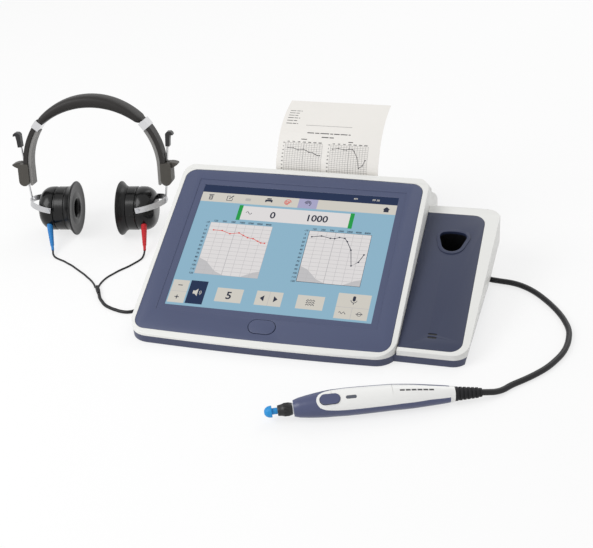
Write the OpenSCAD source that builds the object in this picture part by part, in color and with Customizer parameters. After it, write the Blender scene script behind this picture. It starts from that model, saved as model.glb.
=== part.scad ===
// Tympanometer: touch-screen console with printer, hand-held probe and headset.
// Millimetres, +Z up. X runs to the console's right, Y to its back, the table is at Z 0.
// The origin is on the table, below the middle of the console, the probe and the headset together.

/* [Console] */
// Left side of the main body
main_x0 = 4.4; // [0:0.2:8]
// Right side of the main body
main_x1 = 273.9; // [270:0.1:280]
// Depth of the main body
main_d = 272; // [268:1:278]
// Tilt of the screen panel, in degrees
panel_tilt = 22; // [21:0.5:23]
// Height of the front top edge
front_h = 12.25; // [12:0.25:14]
// Height of the seam between base tray and white housing
seam_z = 8.8; // [8:0.1:9.5]
// Height of the rubber feet
foot_h = 2; // [1.5:0.5:2.5]
// Wall thickness of the mouldings
wall = 3; // [2.5:0.5:3.5]
// Width of the lit screen
screen_w = 211.2; // [205:0.2:215]
// Height of the lit screen along the panel
screen_h = 158.4; // [150:0.2:160]

/* [Cradle] */
// Right side of the cradle at the front
cradle_x = 341; // [338:0.2:342]
// How far the cradle flares out at the back
cradle_flare = 7.3; // [6:0.1:10]
// How far its right wall leans outwards, in degrees
cradle_lean = 8.8; // [6:0.1:10]
// Tilt of the cradle panel, in degrees
cradle_tilt = 16.2; // [15:0.1:17]
// Depth of the probe well
well_depth = 34; // [25:1:36]

/* [Printer] */
// Width of the paper
paper_w = 112; // [110:1:112]
// Radius of a full paper roll
roll_r = 21; // [15:0.5:22]
// Radius of the platen roller
platen_r = 5; // [4.5:0.1:5]

/* [Probe] */
// Place of the probe's middle on the table, from the console's left front corner
probe_x = 244; // [240:1:250]
probe_y = -73.4; // [-80:0.2:-70]
// Direction of the probe on the table, in degrees
probe_yaw = 20.3; // [15:0.1:25]
// Roll of the probe towards the front, in degrees
probe_roll = 34; // [20:1:40]
// Diameter of the probe's cable
probe_cable_d = 5.8; // [5:0.1:6]

/* [Headset] */
// Place of the headset's middle on the table
headset_x = -109.8; // [-112:0.2:-108]
headset_y = 207.4; // [205:0.2:210]
// Turn of the headset on the table, in degrees
headset_yaw = 8.76; // [8:0.01:9]
// Lean of the headset to the back, in degrees
headset_lean = 12; // [11:0.5:13]
// Height of the cup axis above the table
cup_axis_h = 30; // [30:0.1:30.5]
// Outer radius of the headband
band_r = 82; // [80:0.5:84]
// Height of the headband's centre above the cup axis
band_h = 49.8; // [48:0.1:52]
// Diameter of a hanger wire
wire_d = 2.2; // [2:0.1:2.4]
// Diameter of the main cable
main_cable_d = 3.6; // [3.4:0.1:4]
// Diameter of a branch lead
lead_d = 2.2; // [2:0.1:2.4]

/* [Hidden] */
$fn = 64;

// The console's left front corner, seen from the origin
console_x = -77;
console_y = -93;

// Colours
navy = [0.36, 0.38, 0.48];
white = [0.93, 0.93, 0.92];
black = [0.09, 0.09, 0.10];
steel = [0.75, 0.75, 0.77];
grey = [0.5, 0.5, 0.5];

module in_console() {
    translate([console_x, console_y, 0]) children();
}

// Points on an arc about (cx, cy)
function arc(cx, cy, r, from, to, steps) =
    [for (i = [0:steps]) let (a = from + (to - from) * i / steps) [cx + r * cos(a), cy + r * sin(a)]];

// Outlines from above and from the side

// The front and the back of the main body bow out about its middle
bow_front = 3.5;
bow_back = 3.9;
function bow(x) = 1 - pow((2 * x - main_x0 - main_x1) / (main_x1 - main_x0), 2);
function bowed(p) = [p[0],
    p[1] < main_d / 2 ? p[1] - bow_front * bow(p[0]) : p[1] - bow_back * (1 - bow(p[0]))];
front_corner_r = 20;
back_corner_r = 18;
// Nine points from one x to another, for the straight run between two corners
function straight(from, to, y) = [for (i = [1:9]) [from + (to - from) * i / 10, y]];
function main_outline(in) = [for (p = concat(
    arc(main_x0 + front_corner_r, front_corner_r, front_corner_r - in, 180, 270, 8),
    straight(main_x0 + front_corner_r, main_x1 - front_corner_r, in),
    arc(main_x1 - front_corner_r, front_corner_r, front_corner_r - in, -90, 0, 8),
    arc(main_x1 - back_corner_r, main_d - back_corner_r, back_corner_r - in, 0, 90, 8),
    straight(main_x1 - back_corner_r, main_x0 + back_corner_r, main_d - in),
    arc(main_x0 + back_corner_r, main_d - back_corner_r, back_corner_r - in, 90, 180, 8))) bowed(p)];

// Height of the panel plane, and the side profile of the main body: front, ridge, paper gap, printer hump
function panel_z(y) = front_h + y * tan(panel_tilt);
main_profile = [[-12, 0], [-12, panel_z(-12)], [204.5, panel_z(204.5)], [206.5, 95.4], [208.8, 93.5],
    [212, 79.5],
    [215, 76.5], [224.4, 70.8], [232.5, 66.2], [240, 60.8], [252.2, 49.9], [262.5, 39.5], [268, 33.5],
        [271, 28.5],
    [273, 22], [280, 0]];
ledge = 5.2;
hollow_profile = [[-12, -1], [-12, panel_z(-12) - ledge], [200, panel_z(200) - ledge], [205.3, 86],
    [208.6, 76.3],
    [213, 73.4], [222.6, 67.6], [230.5, 63], [237.8, 57.8], [249.6, 47.3], [259.6, 37.1], [264.5, 31.5],
    [267.5, 27], [268.5, -1]];

// What rounds the end of a ridge in the plane of its panel, left (-1) or right (1) of its centre.
// It fades out below the panel.
module ridge_round(side, r, fade, in) {
    tip = r * (sqrt(2) - 1);
    slant = atan(tip / fade);
    low = cos(slant) * fade * 1.08 + sin(slant) * r * sqrt(2);
    rotate(a = slant, v = [1, -side, 0]) difference() {
        translate([side < 0 ? -r - 10 : 0, 0, -low]) cube([r + 10, r + 10, low + 10]);
        translate([0, 0, -low - 1]) cylinder(h = low + 12, r = r - in);
    }
}
ridge_s = 224;
ridge_r = 20;
ridge_fade = 20.5;
module main_block(in, profile) {
    difference() {
        intersection() {
            linear_extrude(height = 110) polygon(main_outline(in));
            rotate([90, 0, 90]) linear_extrude(height = main_x1 + 1) polygon(profile);
        }
        on_panel() translate([main_x0 + ridge_r, ridge_s - ridge_r, 0]) ridge_round(-1, ridge_r,
            ridge_fade, in);
        on_panel() translate([main_x1 - ridge_r, ridge_s - ridge_r, 0]) ridge_round(1, ridge_r,
            ridge_fade, in);
    }
}

// The seam of the rear cover runs level below the panel's back corner, then down to the back
cover_front_y = 199.8;
cover_seam = [[cover_front_y, 120], [cover_front_y, 88], [205, 86.4], [256, 30], [300, 20], [300, 120]];
module cover_zone(gap) {
    translate([-1, gap, gap]) rotate([90, 0, 90]) linear_extrude(height = main_x1 + 2) polygon(cover_seam);
}

// The cradle seen from above: its right wall flares out towards the back, and leans out as it rises
cradle_y0 = 10.5;
cradle_back = 209;
cradle_r = 16;
cradle_left = 271;
function flare(y) = cradle_flare * min(1, max(0, (y - 25) / 165));
function cradle_outline(in) = concat([[cradle_left, cradle_y0 + in]],
    arc(cradle_x - cradle_r, cradle_y0 + cradle_r, cradle_r - in, -90, 0, 8),
    [for (y = [40, 190]) [cradle_x - in + flare(y), y]],
    arc(cradle_x + cradle_flare - 15, cradle_back - 15, 15 - in, 0, 90, 8),
    [[cradle_left, cradle_back - in]]);
cradle_front_h = 13.5;
function cradle_z(y) = cradle_front_h + (y - 8.67) * tan(cradle_tilt);
cradle_ridge_y = 196;
cradle_profile = [[0, 0], [0, cradle_z(0)], [cradle_ridge_y - 4, cradle_z(cradle_ridge_y - 4)],
    [cradle_ridge_y + 2, 69.2],
    [203, 67.2], [207, 62], [209, 54], [210, 0]];
cradle_hollow = [[0, -1], [0, cradle_z(0) - ledge], [192, cradle_z(192) - ledge], [200, 63], [204, 59],
    [206, 52],
    [206.5, -1]];
cradle_foot_x = 338.7;
cradle_skew = 1.6;
module beyond_cradle(in) {
    translate([cradle_foot_x - in, 25, 3]) rotate([0, 0, -cradle_skew]) rotate([0, cradle_lean, 0])
        translate([0, -45, -30]) cube([60, 300, 130]);
}
cradle_ridge_s = 197.5;
cradle_ridge_r = 16;
cradle_ridge_fade = 12;
module cradle_block(in, profile) {
    difference() {
        intersection() {
            linear_extrude(height = 90) polygon(cradle_outline(in));
            rotate([90, 0, 90]) linear_extrude(height = 360) polygon(profile);
        }
        beyond_cradle(in);
        on_cradle() translate([cradle_x + cradle_flare - cradle_ridge_r, cradle_ridge_s - cradle_ridge_r,
            0])
            ridge_round(1, cradle_ridge_r, cradle_ridge_fade, in);
    }
}
// Hollowed round corner at the back right, through which the probe's cable comes out
scoop = [354, 200, -5];
scoop_r = 41;

// Tilted planes of the two panels: x across, y up the slope, z out of the face
module on_panel() {
    translate([0, 0, front_h]) rotate([panel_tilt, 0, 0]) children();
}
module on_cradle() {
    translate([0, 8.67, cradle_front_h]) rotate([cradle_tilt, 0, 0]) children();
}

// Front panel
panel_x0 = 9;
panel_x1 = 268.5;
panel_s0 = 4.9;
panel_s1 = 214.9;
panel_r = 12;
panel_t = 2.6;
panel_bow = 2.1;
panel_ledge = 6.5;
function panel_outline(in) = concat(
    arc(panel_x0 + panel_r, panel_s0 + panel_r, panel_r - in, 180, 270, 8),
    [for (i = [1:9]) let (x = panel_x0 + panel_r + (panel_x1 - panel_x0 - 2 * panel_r) * i / 10)
        [x, panel_s0 + in - panel_bow * (bow(x) - bow(panel_x0 + panel_r))]],
    arc(panel_x1 - panel_r, panel_s0 + panel_r, panel_r - in, -90, 0, 8),
    arc(panel_x1 - panel_r, panel_s1 - panel_r, panel_r - in, 0, 90, 8),
    [for (i = [1:9]) let (x = panel_x1 - panel_r - (panel_x1 - panel_x0 - 2 * panel_r) * i / 10)
        [x, panel_s1 - in + 1.6 * (bow(x) - bow(panel_x0 + panel_r))]],
    arc(panel_x0 + panel_r, panel_s1 - panel_r, panel_r - in, 90, 180, 8));
screen_x = 33.9;
screen_s = 36.8;
bezel = 7;
button_x = 139.8;
button_s = 20;
button_l = 27;
button_w = 16;

// Cradle panel, well and slots
cpanel_x0 = main_x1 + 0.5;
cpanel_x1 = 334.3;
cpanel_s0 = 6.6;
cpanel_s1 = 188;
function cradle_panel_outline(in) = concat([[cpanel_x0 + in, cpanel_s0 + in]],
    arc(cpanel_x1 - panel_r, cpanel_s0 + panel_r, panel_r - in, -90, 0, 8),
    arc(cpanel_x1 - panel_r, cpanel_s1 - panel_r, panel_r - in, 0, 90, 8),
    [[cpanel_x0 + in, cpanel_s1 - in]]);
well_x = 305.3;
well_s = 149.5;
well_w = 27.8;
// Mouth of the well: a broad flat-topped top and a round bottom, of arcs that run into each other
well_corner_r = 6.3;
well_corner_x = well_w / 2 - well_corner_r;
function well_outline(in) = concat(
    arc(well_x + well_corner_x, well_s + 5.4, well_corner_r - in, -17.5, 74, 8),
    arc(well_x, well_s - 21.2, 34 - in, 74, 106, 6),
    arc(well_x - well_corner_x, well_s + 5.4, well_corner_r - in, 106, 197.5, 8),
    arc(well_x, well_s - 4.4, 10.6 - in, 197.5, 342.5, 12));

// Feet, and the screws that hold the housing and the rear cover on the tray
foot_places = [[26, 26], [250, 26], [26, 236], [250, 236], [322, 40]];
housing_screws = [[12.6, 100], [265.5, 100], [12.6, 180], [265.5, 180], [60, 7.5], [220, 7.5]];
cover_screws = [[60, 252], [255, 252]];
boss_r = 3.6;
screw_r = 1.4;
module bosses(places) {
    intersection() {
        main_block(1, main_profile);
        for (p = places) translate([p[0], p[1], seam_z]) cylinder(h = 90, r = boss_r);
    }
}
module screw_holes(places) {
    for (p = places) translate([p[0], p[1], seam_z - 1]) cylinder(h = 4.1, r = screw_r + 0.05);
}

// Base tray: its skirt hides the feet
floor_t = 2.4;
skirt_z = 0.8;
tray_in = 0.4;
module tray_part(in, low, high) {
    translate([0, 0, low]) linear_extrude(height = high - low) polygon(main_outline(in));
    difference() {
        translate([0, 0, low]) linear_extrude(height = high - low) polygon(cradle_outline(in));
        beyond_cradle(in);
    }
}
module tray_block() {
    difference() {
        tray_part(tray_in, skirt_z, seam_z - 0.1);
        tray_part(5, -1, foot_h);
    }
}
module base_tray() {
    color(navy) in_console() difference() {
        union() {
            difference() {
                tray_block();
                difference() {
                    tray_part(4, foot_h + floor_t, 30);
                    translate([main_x1 - 3.9, -1, 0]) cube([11, 300, 40]);
                }
            }
            intersection() {
                tray_block();
                translate(scoop) sphere(r = scoop_r + 2, $fn = 96);
            }
            for (p = concat(housing_screws, cover_screws))
                translate([p[0], p[1], foot_h + 1]) cylinder(h = seam_z - foot_h - 1.1, r = boss_r);
        }
        translate(scoop) sphere(r = scoop_r, $fn = 96);
        for (p = concat(housing_screws, cover_screws)) translate([p[0], p[1], foot_h - 1]) {
            cylinder(h = 2.4, r = 3.1);
            cylinder(h = 20, r = screw_r + 0.1);
        }
        translate([socket_x0 - 2, 262, socket_low - 2.2]) cube([socket_w + 4, 20, 20]);
    }
}

// Five soft feet under the tray
module rubber_feet() {
    color(black) in_console() for (p = foot_places)
        translate([p[0], p[1], 0]) cylinder(h = foot_h, r = 7);
}

// White housing of the main body, in front of the rear cover
module upper_housing() {
    color(white) in_console() difference() {
        union() {
            difference() {
                main_block(0, main_profile);
                main_block(wall, hollow_profile);
            }
            bosses(housing_screws);
        }
        translate([-1, -20, -1]) cube([300, 320, seam_z + 1]);
        cover_zone(0);
        lid_zone(1);
        translate([lid_x0 - 1, 209, 60]) cube([lid_x1 - lid_x0 + 2, 10, 30]);
        screw_holes(housing_screws);
        translate([socket_x0 - 1, 262, socket_low - 0.2]) cube([socket_w + 2, 20, 13]);
        on_panel() translate([0, 0, -panel_t - 0.1]) linear_extrude(height = 20)
            polygon(panel_outline(-0.15));
        on_panel() translate([0, 0, -20]) linear_extrude(height = 30) polygon(panel_outline(panel_ledge));
    }
}

// Navy panel round the screen, with a sunk border and the button's hole
module front_panel() {
    color(navy) in_console() on_panel() difference() {
        translate([0, 0, -panel_t]) linear_extrude(height = panel_t) polygon(panel_outline(0.1));
        translate([screen_x - bezel, screen_s - bezel, -0.7]) cube([screen_w + 2 * bezel,
            screen_h + 2 * bezel, 5]);
        translate([screen_x, screen_s, -10]) cube([screen_w, screen_h, 20]);
        translate([screen_x - 2.2, screen_s - 2.2, -10]) cube([screen_w + 4.4, screen_h + 4.4, 8.6]);
        translate([0, 0, -10]) stadium(button_l + 0.8, button_w + 0.8, 20);
    }
}

// Stadium about the button's place
module stadium(len, w, h) {
    translate([button_x, button_s, 0]) slot_block(len, w, h);
}
module slot_block(len, w, h) {
    translate([-(len - w) / 2, 0, 0]) cylinder(h = h, r = w / 2);
    translate([(len - w) / 2, 0, 0]) cylinder(h = h, r = w / 2);
    translate([-(len - w) / 2, -w / 2, 0]) cube([len - w, w, h]);
}

// Clear cover over the display
module touch_glass() {
    color([0.55, 0.68, 0.76]) in_console() on_panel()
        translate([screen_x - 1.8, screen_s - 1.8, -2.3]) cube([screen_w + 3.6, screen_h + 3.6, 0.85]);
}

// Display with its metal back
module display_module() {
    color(grey) in_console() on_panel() {
        translate([screen_x - 5, screen_s - 5, -9.2]) cube([screen_w + 10, screen_h + 10, 4.2]);
        translate([screen_x - 1.8, screen_s - 1.8, -5.2]) cube([screen_w + 3.6, screen_h + 3.6, 2.8]);
    }
}

// Select button, a cap with a stem on a rubber mat
module select_button() {
    color(navy) in_console() on_panel() translate([button_x, button_s, 0]) {
        translate([0, 0, -2.2]) slot_block(button_l, button_w, 2.5);
        translate([0, 0, -3.2]) slot_block(button_l - 8, button_w - 6, 1.2);
    }
}

// White housing of the cradle
module cradle_housing() {
    color(white) in_console() difference() {
        union() {
            difference() {
                cradle_block(0, cradle_profile);
                cradle_block(wall, cradle_hollow);
            }
            intersection() {
                cradle_block(0, cradle_profile);
                translate(scoop) sphere(r = scoop_r + 2, $fn = 96);
            }
        }
        translate([-1, -20, -1]) cube([400, 320, seam_z + 1]);
        translate([-1, -1, -1]) cube([main_x1 + 1.2, 400, 200]);
        translate(scoop) sphere(r = scoop_r, $fn = 96);
        on_cradle() translate([0, 0, -panel_t - 0.1]) linear_extrude(height = 20)
            polygon(cradle_panel_outline(-0.15));
        on_cradle() translate([cpanel_x0 - 4, cpanel_s0 - 0.15, -panel_t - 0.1])
            cube([10, cpanel_s1 - cpanel_s0 + 0.3, 20]);
        on_cradle() translate([0, 0, -14]) linear_extrude(height = 20) polygon(cradle_panel_outline(4));
    }
}

// Navy panel of the cradle, with the mouth of the well
module cradle_panel() {
    color(navy) in_console() on_cradle() difference() {
        union() {
            translate([0, 0, -panel_t]) linear_extrude(height = panel_t) polygon(cradle_panel_outline(0.1));
            translate([0, 0, -panel_t]) linear_extrude(height = panel_t + 0.8) polygon(well_outline(-3.4));
        }
        translate([0, 0, -10]) linear_extrude(height = 20) polygon(well_outline(0));
        for (k = [-1, 1]) translate([304.7, 23.8 + k * 2, -10]) slot_block(8.8, 2.4, 20);
    }
}

// Black cup behind the mouth of the well
module probe_well() {
    color(black) in_console() on_cradle() difference() {
        union() {
            translate([0, 0, -well_depth]) linear_extrude(height = well_depth - panel_t - 0.05)
                polygon(well_outline(-1.6));
            translate([0, 0, -panel_t - 1.6]) linear_extrude(height = 1.5) polygon(well_outline(-4));
        }
        translate([0, 0, 1.8 - well_depth]) linear_extrude(height = well_depth + 10)
            polygon(well_outline(0.1));
    }
}

// Two dark light guides in the cradle panel
module cradle_slots() {
    color(black) in_console() on_cradle() for (k = [-1, 1])
        translate([304.7, 23.8 + k * 2, -6]) slot_block(8.6, 2.2, 5.5);
}

// Printer lid and its hinge, along X
lid_x0 = 92;
lid_x1 = 230;
lid_y0 = 215.3;
hinge_y = 262.4;
hinge_z = 39.4;
hinge_r = 1.5;
knuckle_r = 2.9;
module lid_zone(gap) {
    translate([lid_x0 - gap, 0, 0]) rotate([90, 0, 90]) linear_extrude(height = lid_x1 - lid_x0 + 2 * gap)
        polygon([[lid_y0 - gap, 40], [lid_y0 - gap, 90], [hinge_y + 1, 90], [hinge_y + 1, hinge_z - 1],
            [hinge_y - 4, hinge_z - 8], [240, 40]]);
}
module along_hinge(x, len, r) {
    translate([x, hinge_y, hinge_z]) rotate([0, 90, 0]) cylinder(h = len, r = r);
}

// White cover of the back, with the strip above the panel, the paper gap and the opening for the lid
module rear_cover() {
    color(white) in_console() difference() {
        union() {
            difference() {
                main_block(0, main_profile);
                main_block(wall, hollow_profile);
                translate([-1, -20, -1]) cube([300, 320, seam_z + 1]);
                lid_zone(0.5);
                translate([lid_x0 - 0.5, 212.6, 60]) cube([lid_x1 - lid_x0 + 1, 6, 30]);
                along_hinge(lid_x0 - 0.5, lid_x1 - lid_x0 + 1, 3.6);
                difference() {
                    translate([-1, -20, -1]) cube([300, 320, 200]);
                    cover_zone(0.15);
                }
            }
            for (x = [lid_x0 - 3, lid_x1 - 4.8]) along_hinge(x, 7.8, knuckle_r);
            bosses(cover_screws);
        }
        on_panel() translate([0, 0, -panel_t - 0.1]) linear_extrude(height = 20)
            polygon(panel_outline(-0.15));
        along_hinge(lid_x0 - 3.2, lid_x1 - lid_x0 + 6.4, hinge_r + 0.02);
        screw_holes(cover_screws);
    }
}

// Lid over the paper bay, with two knuckles and two brackets for the platen
module printer_lid() {
    color(white) in_console() difference() {
        union() {
            difference() {
                intersection() {
                    main_block(0, main_profile);
                    lid_zone(0);
                }
                main_block(wall, hollow_profile);
                along_hinge(lid_x0 - 1, lid_x1 - lid_x0 + 2, 3.4);
            }
            for (x = [lid_x0 + 8, lid_x1 - 18]) {
                along_hinge(x, 10, knuckle_r);
                translate([x, 0, 0]) rotate([90, 0, 90]) linear_extrude(height = 10)
                    polygon([[hinge_y, hinge_z + 0.6], [hinge_y - 3.8, hinge_z + 3.6], [hinge_y - 6,
                        hinge_z],
                        [hinge_y - 2.4, hinge_z - 1]]);
            }
            for (x = [100, 219.5]) translate([x, 0, 0]) rotate([90, 0, 90]) linear_extrude(height = 2.5)
                polygon([[216, 75], [216, 60], [217, 57.5], [222, 57.5], [223.5, 60], [226, 69], [224,
                    70]]);
        }
        along_hinge(lid_x0, lid_x1 - lid_x0, hinge_r + 0.05);
        translate([98, platen_y, platen_z]) rotate([0, 90, 0]) cylinder(h = 126, r = 2.05);
    }
}
module lid_hinge_pin() {
    color(steel) in_console() along_hinge(lid_x0 - 2.8, lid_x1 - lid_x0 + 5.6, hinge_r);
}

// Spur gear along X, with a tooth at the angle given
module spur_gear(teeth, pitch_r, first, width) {
    step = 360 / teeth;
    linear_extrude(height = width) polygon([for (i = [0:teeth - 1]) for (k = [
        [-0.34, pitch_r - 1.15], [-0.20, pitch_r], [-0.11, pitch_r + 0.9],
        [0.11, pitch_r + 0.9], [0.20, pitch_r], [0.34, pitch_r - 1.15]])
        let (a = first + (i + k[0]) * step) [k[1] * cos(a), k[1] * sin(a)]]);
}
// Rubber platen on a steel shaft, carried by the lid, with its gear
platen_y = 219.5;
mesh_angle = 233;
platen_z = 61;
gear_gap = 11.1;
pinion_y = platen_y + gear_gap * cos(mesh_angle);
pinion_z = platen_z + gear_gap * sin(mesh_angle);
platen_teeth = 12;
pinion_teeth = 10;
module platen_roller() {
    color(black) in_console() translate([0, platen_y, platen_z]) rotate([90, 0, 90]) {
        translate([0, 0, 104]) cylinder(h = 114, r = platen_r);
        translate([0, 0, 99.5]) cylinder(h = 128.5, r = 2);
        translate([0, 0, 222.6]) spur_gear(platen_teeth, 6, mesh_angle + 15, 4.6);
    }
}
module motor_pinion() {
    color(steel) in_console() translate([0, pinion_y, pinion_z])
        rotate([90, 0, 90]) translate([0, 0, 222.6]) difference() {
            spur_gear(pinion_teeth, 5, mesh_angle + 180, 4.6);
            translate([0, 0, -1]) cylinder(h = 7, r = 1.55);
        }
}
module printer_motor() {
    color(grey) in_console() translate([0, pinion_y, pinion_z])
        rotate([90, 0, 90]) {
            translate([0, 0, 234]) cylinder(h = 16, r = 9);
            translate([0, 0, 222]) cylinder(h = 12.1, r = 1.5);
        }
}

// Printed paper: out of the gap behind the ridge, then curling to the back
paper_x0 = 105;
paper_t = 0.3;
paper_run = [[214, 57], [214, 68], [213.3, 80], [211.4, 90], [211.6, 96], [214, 102.5], [218.6, 109],
    [225.4, 117.6], [233.6, 125], [243, 130.6], [254.2, 135.1], [266, 137.8], [277, 139.4], [288, 140.3]];
function turned(p, q) = let (d = q - p, l = norm(d)) [-d[1] / l, d[0] / l];
function side(run, i) = let (a = run[max(0, i - 1)], b = run[min(len(run) - 1, i + 1)]) turned(a, b);
module ribbon(run, t) {
    n = len(run) - 1;
    polygon(concat([for (i = [0:n]) run[i] + side(run, i) * t / 2], [for (i = [n:-1:0])
        run[i] - side(run, i) * t / 2]));
}
module paper_strip() {
    color([0.92, 0.91, 0.9]) in_console() translate([paper_x0, 0, 0]) rotate([90, 0, 90])
        linear_extrude(height = paper_w) ribbon(paper_run, paper_t);
}
// Full roll on its core
roll_y = 234.5;
roll_z = 30;
core_r = 6.5;
module paper_roll() {
    color([0.92, 0.91, 0.9]) in_console() translate([paper_x0, roll_y, roll_z]) rotate([0, 90, 0])
        difference() {
        cylinder(h = paper_w, r = roll_r);
        translate([0, 0, -1]) cylinder(h = paper_w + 2, r = core_r);
    }
}
// Two side plates with hubs for the roll, a cross bar and the thermal head
module printer_frame() {
    color(steel) in_console() {
        difference() {
            for (x = [94, 232]) translate([x, 0, 0]) rotate([90, 0, 90]) linear_extrude(height = 2)
                polygon([[203, foot_h + floor_t], [248, foot_h + floor_t], [248, 36], [242, 44], [224,
                    50], [218, 61],
                    [203, 62]]);
            translate([231, pinion_y, pinion_z]) rotate([0, 90, 0]) cylinder(h = 4, r = 2.5);
        }
        for (x = [95.8, 214]) translate([x, roll_y, roll_z]) rotate([0, 90, 0]) cylinder(h = 18.4,
            r = core_r - 0.05);
        translate([95.5, 203.4, 50]) cube([137, 3, 11]);
        translate([104, 206.2, 53]) cube([114, 5, 11]);
        translate([104, 211, 56]) cube([114, 2.5, 8]);
    }
}

// Main circuit board with its larger parts
module main_board() {
    color([0.1, 0.35, 0.2]) in_console() {
        translate([40, 60, 12]) cube([190, 120, 1.6]);
        for (p = [[60, 90, 26], [110, 80, 18], [150, 120, 30], [190, 75, 16]])
            translate([p[0], p[1], 13.6]) cube([p[2], p[2], 2.4]);
        for (x = [60, 100, 180]) translate([x, 168, 13.6]) cube([24, 9, 8]);
        for (p = [[44, 64], [226, 64], [44, 176], [226, 176]])
            translate([p[0], p[1], foot_h + floor_t]) cylinder(h = 8, r = 3);
    }
}
// Pressure pump: a geared motor with its cylinder and valve block
module air_pump() {
    color(grey) in_console() {
        translate([20, 196, 20]) rotate([0, 90, 0]) cylinder(h = 34, r = 12);
        translate([54, 196, 20]) rotate([0, 90, 0]) cylinder(h = 22, r = 8);
        translate([20, 184, foot_h + floor_t]) cube([56, 24, 8]);
        translate([24, 212, foot_h + floor_t]) cube([44, 22, 18]);
        for (x = [32, 46, 60]) translate([x, 223, 22]) cylinder(h = 10, r = 2);
    }
}
// Monitor loudspeaker facing the base
module loudspeaker() {
    color(black) in_console() translate([300, 60, foot_h + floor_t]) difference() {
        union() {
            cylinder(h = 3, r = 12);
            translate([0, 0, 3]) cylinder(h = 6, r1 = 11, r2 = 7);
            translate([0, 0, 8.9]) cylinder(h = 4, r = 7);
        }
        translate([0, 0, -0.1]) cylinder(h = 3, r1 = 9.5, r2 = 3);
    }
}
// Block of sockets at the back: probe, headset, data and power
socket_low = 7.6;
socket_z = 13.6;
socket_x0 = 84;
socket_w = 66;
socket_y = 256;
socket_t = 12.8;
probe_socket_x = 126;
headset_socket_x = 112;
data_socket_x = 90;
power_socket_x = 141;
module rear_sockets() {
    color(black) in_console() difference() {
        translate([socket_x0, socket_y, socket_low]) cube([socket_w, socket_t, 12]);
        translate([probe_socket_x, socket_y + 2, socket_z]) rotate([-90, 0, 0]) cylinder(h = 20, r = 4.5);
        translate([headset_socket_x, socket_y + 2, socket_z]) rotate([-90, 0, 0]) cylinder(h = 20, r = 3.2);
        for (z = [-2.4, 0.9]) translate([data_socket_x, socket_y + 2, socket_z + z]) cube([12.4, 20, 1.5]);
        translate([power_socket_x, socket_y + 2, socket_z]) rotate([-90, 0, 0]) difference() {
            cylinder(h = 20, r = 3.2);
            translate([0, 0, -1]) cylinder(h = 10, r = 1);
        }
    }
}
// Screws that join tray and housing, from below
module case_screws() {
    color(steel) in_console() for (p = concat(housing_screws, cover_screws))
        translate([p[0], p[1], foot_h - 0.4]) difference() {
            union() {
                cylinder(h = 1.8, r = 3);
                cylinder(h = 10, r = screw_r);
            }
            translate([0, 0, -0.1]) cylinder(h = 1.1, r = 1.2, $fn = 6);
        }
}

// Probe: its axis bends a little at both ends. Stations along the axis are [place, radius].
bend_front = -12;
bend_back = 42;
axis_z = 12.7;
tilt_front = -2.5;
tilt_mid = 0.42;
tilt_back = 3.5;
module on_probe_axis(s, pivot, height, tilt, roll) {
    in_console() translate([probe_x, probe_y, 0]) rotate([0, 0, probe_yaw]) translate([pivot, 0, height])
        rotate([0, tilt, 0]) rotate([roll, 0, 0]) rotate([0, 90, 0]) rotate([0, 0, 180])
        translate([0, 0, s - pivot]) children();
}
module front_axis(s, roll = 0) {
    on_probe_axis(s, bend_front, axis_z, tilt_front, roll) children();
}
module mid_axis(s, roll = 0) {
    on_probe_axis(s, bend_front, axis_z, tilt_mid, roll) children();
}
module back_axis(s, roll = 0) {
    on_probe_axis(s, bend_back, axis_z - 0.4, tilt_back, roll) children();
}
body_front = [[-46.3, 7.4], [-41.3, 8.9], [-34, 10.1], [-26.9, 11], [-19, 11.8], [-13, 12.15], [-12,
    12.15]];
body_mid = [[-12, 12.2], [-11, 12.2], [0.5, 12.55], [12, 12.5], [22.4, 12.3], [33.5, 12.1], [41, 11.9],
    [42, 11.9]];
body_back = [[42, 11.85], [43, 11.85], [53.5, 11.4], [62, 10.9], [69.7, 10.2], [78, 9.4], [85.9, 8.6],
    [92, 7.9],
    [98.4, 7]];
module turned_body(stations, in, more_low, more_high) {
    first = stations[0];
    last = stations[len(stations) - 1];
    rotate_extrude() polygon(concat([[0, first[0] - more_low], [first[1] - in, first[0] - more_low]],
        [for (p = stations) [p[1] - in, p[0]]], [[last[1] - in, last[0] + more_high], [0,
            last[0] + more_high]]));
}
// The ends of the body are a hair thinner where they run into its middle length
bend_lap = 0.4;
module probe_body(in, more) {
    front_axis(0) turned_body(body_front, in, more, bend_lap);
    mid_axis(0) turned_body(body_mid, in, 0, 0);
    back_axis(0) turned_body(body_back, in, bend_lap, more);
}
// The white upper shell lies above a plane that rises at the front, and ends in a ring
module cap_zone() {
    mid_axis(0, probe_roll) rotate([90, 0, 0]) translate([0, 0, -20]) linear_extrude(height = 40)
        polygon([[14, -27.5], [10.6, -26.2], [9, -23], [8, -18], [7.4, -8], [7.2, 20], [7, 50], [5.6,
            75], [3.4, 94],
            [-20, 94.6], [-20, 99], [16, 99], [30, 60], [30, -30]]);
}
module probe_lower_shell() {
    color(navy) difference() {
        probe_body(0, 0);
        probe_body(1.8, 0.5);
        cap_zone();
    }
}
module probe_upper_shell() {
    color(white) difference() {
        intersection() {
            probe_body(0, 0);
            cap_zone();
        }
        probe_body(1.8, 0.5);
        mid_axis(-14, probe_roll) translate([5, 0, 0]) rotate([0, 90, 0]) slot_block(18.8, 10, 12);
        mid_axis(5, probe_roll) translate([8, 0, 0]) rotate([0, 90, 0]) slot_block(9.8, 3.2, 8);
    }
}
// Thumb button in the upper shell: it slides in along its own axis
module probe_button() {
    color(navy) mid_axis(-14, probe_roll) translate([7.6, 0, 0]) rotate([0, 90, 0]) slot_block(18, 9.2,
        5.3);
}
module probe_lens() {
    color(grey) mid_axis(5, probe_roll) translate([9.6, 0, 0]) rotate([0, 90, 0]) slot_block(9.6, 3, 2.8);
}
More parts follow.
